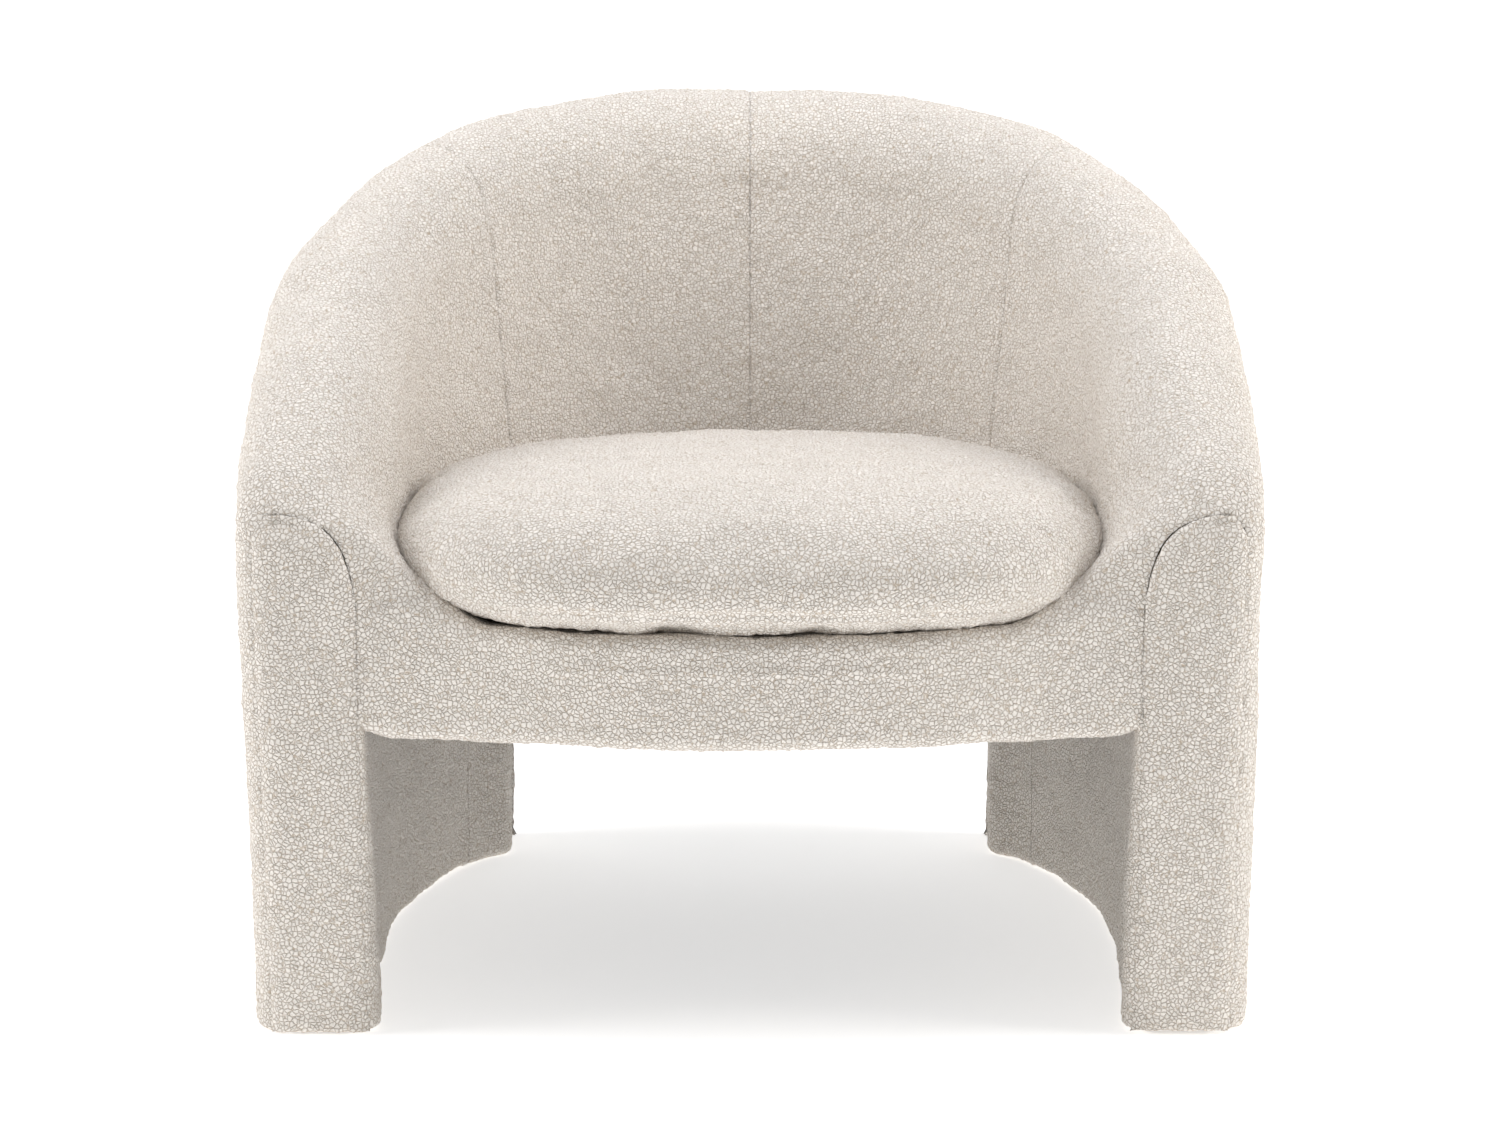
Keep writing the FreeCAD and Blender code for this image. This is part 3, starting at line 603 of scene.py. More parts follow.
@dataclass
class Wardrobe:
    """Every finish of the chair, made once."""

    made: dict = field(default_factory=dict)

    def build(self) -> None:
        """Makes the materials, each under the frame's name for its slot."""
        finishes = {
            "boucle": SherpaFleece(),
            "deck_cloth": WovenCloth("decking_twill", "#E3DCCF", "#B9AE9E", thread=0.0012),
            "felt": WovenCloth("needled_felt", "#CFCBC4", "#8F8B86", thread=0.0030),
            "dust_cloth": WovenCloth("spunbond_cambric", "#3A3A3C", "#1C1C1E", thread=0.0009),
            "zip_tape": WovenCloth("zip_tape_knit", "#E6E0D6", "#B5ADA1", thread=0.0010),
            "timber": SawnWood("sawn_pine", "#DDBE8C", "#B98B55", grain=0.012),
            "plywood": SawnWood("poplar_plywood", "#D9C29A", "#B4925F", grain=0.016,
                                ring_stretch=(0.2, 1.0, 5.0)),
            "spring_steel": SteelWire("oiled_spring_steel", "#6E6C69", "#8E8B86", rough=0.38),
            "plated_steel": SteelWire("zinc_plated_steel", "#B9BBBD", "#D5D6D6", rough=0.30),
            "zip_slider": SteelWire("nickel_slider", "#A9A49A", "#C9C4BA", rough=0.28),
            "glide_plastic": MouldedPlastic("black_polyethylene", "#2A2A2B", "#1B1B1C"),
            "foam": WovenCloth("polyurethane_foam", "#EFE6C8", "#D8CCA8", thread=0.0020),
        }
        self.made = {slot: finish.build() for slot, finish in finishes.items()}

    def dress(self, piece: bpy.types.Object, slot: str) -> None:
        """Gives a new piece the one finish made for a slot of the frame."""
        piece.data.materials.clear()
        piece.data.materials.append(self.made[slot])


# ------------------------------------------------------------------------------------------ the barrel form

@dataclass(frozen=True)
class BarrelForm:
    """The upholstered horseshoe as formulas, which every panel reads.

    The plan is half an ellipse behind and drawn-in sides in front. A section goes up the outer face, over
    the rim as two rounded quarters and down the inner face. The place on a section, q, is -2 to 0 on the
    turned-under hem, 0 to 1 on the outer face, 1 to 2 and 2 to 3 on the rim's outer and inner quarters,
    and 3 to 4 on the inner face.
    """

    half_width: float
    front_plane: float
    rim_back: float
    rear_radius: float = 0.420
    side_length: float = 0.300
    front_tuck: float = 0.022
    skirt_taper: float = 0.0065
    belt_height: float = 0.400
    rim_falls: tuple[float, ...] = (0.0, 0.032, 0.146, 0.221, 0.308)
    crest_depth: float = 0.055
    front_crest_depth: float = 0.030
    drop_out: float = 0.060
    front_drop_out: float = 0.036
    drop_in: float = 0.090
    wall_top: float = 0.119
    wall_front: float = 0.094
    wall_slope: float = 0.118
    lean_end: float = 0.390
    seam_station: float = 0.61
    hem: float = 0.0012
    hem_radius: float = 0.0055
    hem_return: float = 0.014
    inner_bottom: float = 0.304
    corner_outer: float = 0.030
    corner_crest: float = 0.042
    corner_inner: float = 0.012
    corner_foot: float = 0.025
    seam_turn: float = math.radians(52.0)
    filler_height: float = 0.418
    filler_slope: float = 0.66
    filler_round: float = 0.012
    filler_start: float = 1.25
    filler_run: float = 0.66
    filler_stop: tuple[float, float] = (1.962, 1.990)
    wall_ease_start: float = 1.35
    side_lean_share: float = 0.5
    opening_height: float = 0.225

    def rim(self, station: np.ndarray) -> np.ndarray:
        """Crest height: a Catmull-Rom cubic through five heights, at stations 0, 0.5, 1, 1.5 and 2."""
        heights = self.rim_back - np.array(self.rim_falls)
        ends = np.concatenate([[heights[1]], heights, [2 * heights[4] - heights[3]]])
        place = np.clip(np.abs(station), 0.0, 2.0) / 0.5
        k = np.minimum(place.astype(int), 3)
        f = place - k
        before, here, ahead, beyond = (ends[k + step] for step in range(4))
        slope_a = (ahead - before) / 2
        slope_b = (beyond - here) / 2
        return ((2 * f**3 - 3 * f**2 + 1) * here + (f**3 - 2 * f**2 + f) * slope_a
                + (3 * f**2 - 2 * f**3) * ahead + (f**3 - f**2) * slope_b)

    def plan(self, station: np.ndarray) -> tuple[np.ndarray, np.ndarray]:
        """The outer face in plan and its outward direction.

        Up to station 1: x = a sin(t), y = middle + b cos(t). Beyond it: x = a - tuck * s^2 and
        y = middle - l * s.
        The direction turns square to the front plane before the front, so that the front is flush.
        """
        size = np.abs(station)
        side = np.where(station < 0, -1.0, 1.0)
        turn = np.minimum(size, 1.0) * QUARTER_TURN
        ahead = np.maximum(size - 1.0, 0.0)
        middle = self.front_plane + self.side_length
        behind = size <= 1.0
        x = np.where(behind, self.half_width * np.sin(turn), self.half_width - self.front_tuck * ahead**2)
        y = np.where(behind, middle + self.rear_radius * np.cos(turn), middle - self.side_length * ahead)
        run_x = np.where(behind, self.half_width * np.cos(turn), -2 * self.front_tuck * ahead)
        run_y = np.where(behind, -self.rear_radius * np.sin(turn), -self.side_length)
        level = 1.0 - smooth_step((size - 1.4) / 0.6)
        out = unit(np.stack([-run_y, run_x * level], axis=-1))
        return (np.stack([side * x, y], axis=-1), out * np.stack([side, np.ones_like(side)], axis=-1))

    def place(self, station: np.ndarray, depth: np.ndarray, height: np.ndarray) -> np.ndarray:
        """The point at a depth and a height, leaning in towards the floor."""
        base, out = self.plan(station)
        taper = self.skirt_taper * np.clip(1.0 - height / self.belt_height, 0.0, 1.0)
        flat = base - out * (depth + taper)[..., None]
        return np.concatenate([flat, height[..., None]], axis=-1)

    def towards_front(self, station: np.ndarray, start: float, end: float = 2.0) -> np.ndarray:
        """0 at one station and behind it, 1 at another and ahead of it, smooth between."""
        return smooth_step((np.abs(station) - start) / (end - start))

    def thickness(self, station: np.ndarray, height: np.ndarray) -> np.ndarray:
        """Thickness of the padded wall.

        It falls from its top value to its front value, grows lower down behind, and gains a filler beside
        the cushion's rounded front corner: slope * fall^2 / (fall + 12 mm), where fall is the depth below
        the filler's top. The filler stops at the front as a rounded step.
        """
        ease = self.towards_front(station, self.wall_ease_start)
        top = self.wall_top + (self.wall_front - self.wall_top) * ease
        below = self.rim(station) - self.drop_in - np.maximum(height, self.lean_end)
        fall = np.maximum(self.filler_height - height, 0.0)
        grow = np.clip((np.abs(station) - self.filler_start) / self.filler_run, 0.0, 1.0) ** 1.8
        stop = 1.0 - self.towards_front(station, *self.filler_stop)
        filler = self.filler_slope * grow * stop * fall**2 / (fall + self.filler_round)
        lean = self.wall_slope * (1.0 - self.side_lean_share * self.towards_front(station, 0.7, 1.0))
        return top + lean * np.maximum(below, 0.0) + filler

    def corner(self, q: np.ndarray) -> np.ndarray:
        """Radius of the rounded front edge at a place on the section."""
        return np.interp(q, [0.0, 1.0, 1.6, 2.2, 2.7, 3.0], [
            self.corner_outer, self.corner_outer, self.corner_crest, self.corner_crest, 0.020,
            self.corner_inner])

    def shell(self, station: np.ndarray, q: np.ndarray, inset: np.ndarray) -> np.ndarray:
        """The surface at a station and a place on the section, drawn in by an inset.

        Args:
            station: station numbers.
            q: places on the section, -2 to 4.
            inset: distance inwards, in metres.

        Returns:
            Points, in the arrays' shape by 3.
        """
        front = self.towards_front(station, 1.45)
        crest = self.rim(station)
        crest_depth = self.crest_depth + (self.front_crest_depth - self.crest_depth) * front
        drop_out = self.drop_out + (self.front_drop_out - self.drop_out) * front
        low_out = crest - drop_out
        low_in = np.maximum(crest - self.drop_in, self.inner_bottom + 0.010)
        power = 2.0 / (2.05 + 0.15 * front)
        foot = self.hem + self.hem_radius

        turned = np.clip(-q, 0.0, 1.0) * QUARTER_TURN
        back_in = np.clip(-q - 1.0, 0.0, 1.0) * self.hem_return
        depth = inset + self.hem_radius * (1.0 - np.cos(turned)) + back_in
        height = foot - self.hem_radius * np.sin(turned)

        up = np.clip(q, 0.0, 1.0)
        height = np.where(q > 0, foot + (low_out - foot) * up, height)

        a = np.clip(q - 1.0, 0.0, 1.0) * QUARTER_TURN
        depth = np.where(q > 1, crest_depth - (crest_depth - inset) * np.abs(np.cos(a)) ** power, depth)
        height = np.where(q > 1, low_out + (drop_out - inset) * np.sin(a) ** power, height)

        b = np.clip(3.0 - q, 0.0, 1.0) * QUARTER_TURN
        wall_in = self.thickness(station, low_in) - crest_depth - inset
        height = np.where(q > 2, low_in + (crest - low_in - inset) * np.abs(np.sin(b)) ** power, height)
        filler = self.thickness(station, np.maximum(height, low_in)) - self.thickness(station, low_in)
        depth = np.where(q > 2, crest_depth + wall_in * np.abs(np.cos(b)) ** power
                         + filler * np.abs(np.cos(b)), depth)

        down = np.clip(q - 3.0, 0.0, 1.0)
        height = np.where(q > 3, low_in + (self.inner_bottom - low_in) * down, height)
        depth = np.where(q > 3, self.thickness(station, height) - inset, depth)
        return self.place(station, depth, height)

    def station_of(self, behind: np.ndarray) -> np.ndarray:
        """The station at a distance behind the front plane."""
        return 2.0 - behind / self.side_length

    def ribbon(self, start: float, end: Optional[float], q_start: float, q_end: float,
               pitch: float) -> np.ndarray:
        """A panel's grid between two stations and two places on the section.

        Args:
            start: first station.
            end: last station, or None to run round the front's rounded edge to its seam.
            q_start: first place on the section.
            q_end: last place on the section.
            pitch: grid step.

        Returns:
            The panel's grid, stations by places by 3.
        """
        q = np.linspace(q_start, q_end, 500)[None, :]
        if end is not None:
            station = np.linspace(start, end, 260)[:, None]
            dense = self.shell(station + 0 * q, q + 0 * station, 0 * station + 0 * q)
            return even_grid(dense, pitch)
        radius = self.corner(q)
        share = np.linspace(0.0, 1.0, 260)[:, None]
        flat = start + (self.station_of(radius) - start) * share
        turn = np.linspace(0.0, self.seam_turn, 24)[1:, None]
        round_part = self.station_of(radius * (1.0 - np.sin(turn)))
        station = np.concatenate([flat, round_part])
        inset = np.concatenate([0 * flat, radius * (1.0 - np.cos(turn))])
        return even_grid(self.shell(station, q + 0 * station, inset), pitch)


# ------------------------------------------------------------------------------------------ upholstery

PITCH = 0.0026


@dataclass
class Upholstery:
    """The fixed covers: arms, back, arm fronts, legs and apron, each a closed padded panel."""

    form: BarrelForm
    wardrobe: Wardrobe
    inner_half: float = 0.306
    inner_tuck: float = 0.019
    inner_length: float = 0.280
    inner_radius: float = 0.434
    inner_lean: float = 0.0085
    nose_half: float = 0.225
    nose_round: float = 0.022
    apron_radius: float = 0.590
    apron_bow: float = 0.038
    apron_end_behind: float = 0.0030
    apron_half: float = 0.2940
    apron_fillet: float = 0.009
    seam_ease: float = 0.018
    leg_top: float = 0.335
    rear_hem_share: float = 0.18
    panels: list = field(default_factory=list)

    def foot_corner(self, height: np.ndarray) -> np.ndarray:
        """Radius of a leg's inner front edge: small beside the apron, wider towards the floor."""
        form = self.form
        share = smooth_step((form.opening_height - 0.01 - height) / 0.12)
        return form.corner_inner + (form.corner_foot - form.corner_inner) * share

    def leg_lean(self, height: np.ndarray) -> np.ndarray:
        """How far a leg's inner front edge leans towards the middle of the chair at a height."""
        return self.inner_lean * np.clip(1 - height / self.form.opening_height, 0.0, 1.0)

    def inner_line(self, turn: np.ndarray) -> np.ndarray:
        """The legs' inner face in plan, for turns from -1 at the front to 1 round the rear ellipse."""
        middle = self.form.front_plane + self.inner_length
        ahead = np.minimum(turn, 0.0)
        angle = np.maximum(turn, 0.0) * QUARTER_TURN
        in_front = turn <= 0
        tucked = self.inner_half - self.inner_tuck * ahead**2
        x = np.where(in_front, tucked, self.inner_half * np.cos(angle))
        y = middle + np.where(in_front, self.inner_length * ahead, self.inner_radius * np.sin(angle))
        return np.stack([x, y], axis=-1)

    def nose_turn(self) -> float:
        """Turn of the inner line where the leg's rear end begins."""
        return math.acos((self.nose_half + self.nose_round) / self.inner_half) / QUARTER_TURN

    def nose_path(self) -> tuple[np.ndarray, np.ndarray]:
        """The leg's plan from its inner face round the rear end to the outside seam.

        The corners are rounded by averaging the path along its length with a bell curve.

        Returns:
            Plan points, and for each the share of the outer face's lean that it takes.
        """
        form = self.form
        rear = math.asin(self.nose_half / form.half_width) / QUARTER_TURN
        inner = self.inner_line(np.linspace(self.nose_turn() - 0.16, self.nose_turn(), 60))
        outer, _ = form.plan(np.linspace(rear, form.seam_station + 0.06, 160))
        corner_in = np.array([[self.nose_half, inner[-1, 1] + 0.016]])
        sharp = np.concatenate([inner, corner_in, outer])
        steps = np.concatenate([[0.0], np.cumsum(np.linalg.norm(np.diff(sharp, axis=0), axis=1))])
        even = np.arange(0.0, steps[-1], 0.0008)
        line = np.stack([np.interp(even, steps, sharp[:, k]) for k in range(2)], axis=-1)
        bell = np.exp(-0.5 * (np.arange(-40, 41) / 13.0) ** 2)
        bell /= bell.sum()
        soft = np.stack([np.convolve(line[:, k], bell, mode="valid") for k in range(2)], axis=-1)
        along = even[40:-40]
        lean = smooth_step((along - steps[len(inner)]) / 0.08)
        return soft, lean

    def leg_rows(self, top: float) -> tuple[np.ndarray, np.ndarray]:
        """Heights up a leg from its turned-under hem, and how far inwards each lies."""
        form = self.form
        back = np.linspace(form.hem_return, 0.0, 8)[:-1]
        turn = np.linspace(QUARTER_TURN, 0.0, 16)
        up = np.linspace(form.hem + form.hem_radius, top, 200)[1:]
        heights = np.concatenate([0 * back + form.hem, form.hem + form.hem_radius * (1 - np.sin(turn)), up])
        inwards = np.concatenate([form.hem_radius + back, form.hem_radius * (1 - np.cos(turn)), 0 * up])
        return heights, inwards

    def inner_leg_grid(self) -> np.ndarray:
        """The inner face of the right leg, from the front edge's seam to the rear end."""
        form = self.form
        heights, inwards = self.leg_rows(form.opening_height + 0.020)
        radius = self.foot_corner(heights)[None, :]
        turn = np.linspace(form.seam_turn, 0.0, 20)[:-1, None]
        behind_round = radius * (1 - np.sin(turn))
        flat = np.linspace(0.0, 1.0, 240)[:, None]
        end = self.nose_turn() - 0.05
        start_turn = -1 + radius / self.inner_length
        round_turns = -1 + behind_round / self.inner_length
        turns = np.concatenate([round_turns, start_turn + (end - start_turn) * flat])
        inset = np.concatenate([radius * (1 - np.cos(turn)), 0 * flat + 0 * radius])
        plan = self.inner_line(turns)
        run = np.gradient(plan, axis=0)
        out = unit(np.stack([run[..., 1], -run[..., 0]], axis=-1))
        plan = plan + out * (inwards[None, :] + inset)[..., None]
        fade = 1 - smooth_step((turns + 1) / 0.9)
        plan = plan - np.stack([self.leg_lean(heights)[None, :] * fade, 0 * fade], axis=-1)
        height = np.broadcast_to(heights[None, :], plan.shape[:2])
        return even_grid(np.concatenate([plan, height[..., None]], axis=-1), PITCH)

    def rear_leg_grid(self) -> np.ndarray:
        """The rear end of the right leg, from its inner face to the outside seam, up to the opening.

        The hem is turned under by less than elsewhere, because a wider one would fold over itself at the
        sharp rear corner.
        """
        form = self.form
        line, lean = self.nose_path()
        seam, _ = form.plan(np.array([form.seam_station]))
        first = int(np.argmin(np.linalg.norm(line - self.inner_line(np.array([self.nose_turn() - 0.05]))[0],
                                             axis=1)))
        last = int(np.argmin(np.linalg.norm(line - seam[0], axis=1)))
        line, lean = line[first:last + 1], lean[first:last + 1]
        heights, inwards = self.leg_rows(form.opening_height)
        past_turn = np.maximum(inwards - form.hem_radius, 0.0)
        inwards = np.minimum(inwards, form.hem_radius) + self.rear_hem_share * past_turn
        run = np.gradient(line, axis=0)
        out = unit(np.stack([run[:, 1], -run[:, 0]], axis=-1))
        taper = form.skirt_taper * np.clip(1 - heights / form.belt_height, 0.0, 1.0)
        depth = inwards[None, :] + lean[:, None] * taper[None, :]
        plan = line[:, None, :] + out[:, None, :] * depth[..., None]
        height = np.broadcast_to(heights[None, :], plan.shape[:2])
        return even_grid(np.concatenate([plan, height[..., None]], axis=-1), PITCH)

    def front_outline(self, inset_share: float) -> tuple[np.ndarray, np.ndarray]:
        """Outline of an arm's front, from the outer foot to the crest and from the inner foot to it.

        Args:
            inset_share: 0 for the outline itself, 1 for the seam inside it.

        Returns:
            The outer and the inner half of the outline; each point is x, z, distance behind the front
            plane and radius of the rounded edge.
        """
        form = self.form
        foot = form.hem
        q = np.linspace(0.0, 3.6, 900)
        radius = form.corner(q)
        turn = form.seam_turn * inset_share
        behind = radius * (1 - math.sin(turn)) if inset_share else 0 * radius
        station = form.station_of(behind)
        points = form.shell(station, q, radius * (1 - math.cos(turn)))
        upper = np.stack([points[:, 0], points[:, 2], behind, radius], axis=-1)
        crest = int(np.argmax(upper[:, 1]))
        outer = np.concatenate([[[upper[0, 0], foot, behind[0], radius[0]]], upper[:crest + 1]])
        side = upper[crest:]
        side = side[side[:, 1] > self.leg_top]
        leg = np.linspace(self.leg_top, foot, 240)
        leg_radius = self.foot_corner(leg)
        inner_x = self.inner_half - self.inner_tuck - self.leg_lean(leg) + leg_radius * (1 - math.cos(turn))
        leg_behind = leg_radius * (1 - math.sin(turn)) if inset_share else 0 * leg_radius
        inner = np.concatenate([side, np.stack([inner_x, leg, leg_behind, leg_radius], axis=-1)])[::-1]
        return outer, inner

    def arm_front_grid(self) -> np.ndarray:
        """The panel on the front of the right arm and leg.

        Rows join the outer and the inner half of the seam. At a distance d inside the outline the face
        lies r - sqrt(r^2 - (r - d)^2) behind the front plane, where r is the edge's radius there. Within
        18 mm of a seam it eases to the seam's own depth, where the neighbouring panel ends.
        """
        form = self.form
        outer, inner = self.front_outline(1.0)
        count = 420
        rows = []
        for line in (outer, inner):
            runs = np.concatenate([[0.0], np.cumsum(np.linalg.norm(np.diff(line[:, :2], axis=0), axis=1))])
            spots = np.linspace(0.0, runs[-1] - 0.0008, count)
            rows.append(np.stack([np.interp(spots, runs, line[:, k]) for k in range(4)], axis=-1))
        across = np.linspace(0.0, 1.0, 90)[None, :, None]
        seam = rows[0][:, None, :] + (rows[1] - rows[0])[:, None, :] * across
        flat = seam[..., :2]
        edge_outer, edge_inner = self.front_outline(0.0)
        edge = np.concatenate([edge_outer, edge_inner[::-1]])
        keep = np.linspace(0, len(edge) - 1, 700).astype(int)
        edge = edge[keep]
        gap = np.linalg.norm(flat[:, :, None, :] - edge[None, None, :, :2], axis=-1)
        near = gap.min(axis=2)
        radius = edge[:, 3][gap.argmin(axis=2)]
        dip = np.clip(radius - near, 0.0, radius)
        back = radius - np.sqrt(np.maximum(radius**2 - dip**2, 0.0))
        foot_radius = form.hem_radius
        foot_dip = np.clip(foot_radius - (flat[..., 1] - form.hem), 0.0, foot_radius)
        foot_back = foot_radius - np.sqrt(np.maximum(foot_radius**2 - foot_dip**2, 0.0))
        for side in (0, -1):
            reach = np.linalg.norm(flat - flat[:, side:side + 1 or None], axis=-1)
            wanted = rows[side][:, 2] - back[:, side]
            back = back + wanted[:, None] * (1 - smooth_step(reach / self.seam_ease))
        y = form.front_plane + np.maximum(back, foot_back)
        return even_grid(np.stack([flat[..., 0], y, flat[..., 1]], axis=-1), PITCH)

    def apron_y(self, x: np.ndarray) -> np.ndarray:
        """The apron's face in plan: an arc bowed to the front that flattens into the arm fronts."""
        form = self.form
        middle = form.front_plane - self.apron_bow + self.apron_radius
        arc = middle - np.sqrt(self.apron_radius**2 - x**2)
        flat_end = form.front_plane + self.apron_end_behind
        soft = 0.006
        return flat_end - soft * np.log1p(np.exp((flat_end - arc) / soft))

    def apron_grid(self) -> np.ndarray:
        """The apron between the arm fronts: turned under below, rolled back above, higher at its ends."""
        form = self.form
        x = np.linspace(-self.apron_half, self.apron_half, 420)[:, None]
        size = np.abs(x)
        fillet = self.apron_fillet * np.clip(1 - (self.apron_half - size) / 0.034, 0.0, 1.0) ** 2
        low = form.opening_height + 0.001 + fillet
        beside_arm = smooth_step((size - 0.190) / 0.075)
        high = 0.3105 + 0.0035 * smooth_step((size - 0.10) / 0.08) + 0.0380 * beside_arm
        over_radius = 0.010 + 0.024 * beside_arm
        radius = 0.011
        turned = np.linspace(QUARTER_TURN, 0.0, 16)[None, :]
        back = np.linspace(0.022, 0.0, 10)[None, :-1]
        heights = [low + 0 * back, low + radius * (1 - np.sin(turned)), None, None, None]
        behind = [radius + back + 0 * x, radius * (1 - np.cos(turned)) + 0 * x]
        rise = np.linspace(0.0, 1.0, 120)[None, 1:]
        heights[2] = low + radius + (high - over_radius - low - radius) * rise
        behind.append(0 * rise + 0 * x)
        over = np.linspace(0.0, QUARTER_TURN, 16)[None, 1:]
        heights[3] = high - over_radius + over_radius * np.sin(over)
        behind.append(over_radius * (1 - np.cos(over)))
        rear = np.linspace(0.0, 0.020, 8)[None, 1:]
        heights[4] = high + 0 * rear
        behind.append(over_radius + rear)
        z = np.concatenate(heights, axis=1)
        inwards = np.concatenate(behind, axis=1)
        ridge = 0.0010 * np.exp(-((z - 0.285) / 0.0035) ** 2) * (1 - smooth_step((size - 0.12) / 0.05))
        y = self.apron_y(x) + inwards - ridge
        return even_grid(np.stack([x + 0 * z, y, z], axis=-1), PITCH)

    def collect(self) -> None:
        """Works out every panel's grid; the left-hand ones are mirrors."""
        form = self.form
        both = {
            "inside_arm_panel": (
                form.ribbon(form.seam_station, None, 1.0, 4.0, PITCH), (Edge.START, Edge.END, Edge.LOW),
                ("inside_arm_cover_{}", "inside_arm_foam_{}"), True),
            "outside_arm_panel": (
                form.ribbon(form.seam_station, None, -2.0, 1.0, PITCH), (Edge.START, Edge.END, Edge.HIGH),
                ("outside_arm_cover_{}", "outside_arm_foam_{}"), True),
            "inside_back_panel": (
                form.ribbon(0.0, form.seam_station, 1.0, 4.0, PITCH), (Edge.START, Edge.END, Edge.LOW),
                ("inside_back_cover_{}",), True),
            "inner_leg_panel": (
                self.inner_leg_grid(), (Edge.START,), ("inner_leg_cover_{}", "inner_leg_foam_{}"), True),
            "rear_leg_panel": (
                self.rear_leg_grid(), (Edge.END,), ("rear_leg_cover_{}",), True),
            "arm_front_panel": (
                self.arm_front_grid(), (Edge.LOW, Edge.HIGH, Edge.END),
                ("arm_front_cover_{}", "arm_front_foam_{}"), False),
        }
        shallow = {"arm_front_panel": 0.0008, "inside_arm_panel": 0.0012, "outside_arm_panel": 0.0012}
        for label, (grid, seams, nodes, flip) in both.items():
            right = Panel(label + "_right", grid, seams, [n.format("right") for n in nodes], flip,
                          seam_depth=shallow.get(label, 0.0022))
            self.panels += [right, right.mirror(label + "_left", [n.format("left") for n in nodes])]
        seam = form.seam_station
        self.panels.append(Panel(
            "outside_back_panel", self.outside_back_grid(seam), (Edge.START, Edge.END, Edge.HIGH),
            ["outside_back_cover", "outside_back_foam"], True))
        self.panels.append(Panel(
            "apron_panel", self.apron_grid(), (Edge.START, Edge.END), ["apron_cover", "apron_foam"], False,
            seam_depth=0.0016))

    def outside_back_grid(self, seam: float) -> np.ndarray:
        """The outside of the back above the opening between the legs, its lower edge turned under."""
        form = self.form
        station = np.linspace(-seam, seam, 520)[:, None]
        radius = 0.010
        low = form.opening_height
        top = form.rim(station) - form.drop_out
        over_leg = smooth_step((np.abs(station) - 0.36) / 0.05)
        turned = np.linspace(QUARTER_TURN, 0.0, 16)[None, :]
        back = np.linspace(0.016, 0.0, 8)[None, :-1]
        z_back = low + 0 * back + 0 * station
        z_turn = low + radius * (1 - np.sin(turned)) + 0 * station
        z_up = low + radius + (top - low - radius) * np.linspace(0.0, 1.0, 160)[None, 1:]
        depth = np.concatenate([radius + back + 0 * station, radius * (1 - np.cos(turned)) + 0 * station,
                                0 * z_up], axis=1) * (1 - over_leg)
        height = np.concatenate([z_back, z_turn, z_up], axis=1)
        return even_grid(form.place(station + 0 * height, depth, height), PITCH)

    def build(self) -> None:
        """Makes every panel, dresses it and hides the plain solids that it stands for."""
        self.collect()
        for panel in self.panels:
            piece = panel.build()
            self.wardrobe.dress(piece, "boucle")
            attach(piece, Body.FRAME.value)
            nodes = list(panel.stands_for)
            if panel.name == "inside_back_panel_right":
                nodes.append("inside_back_foam")
            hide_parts(*nodes)
            LOG.info("%s: %d faces", panel.name, len(piece.data.polygons))


# ------------------------------------------------------------------------------------------ loose cushion

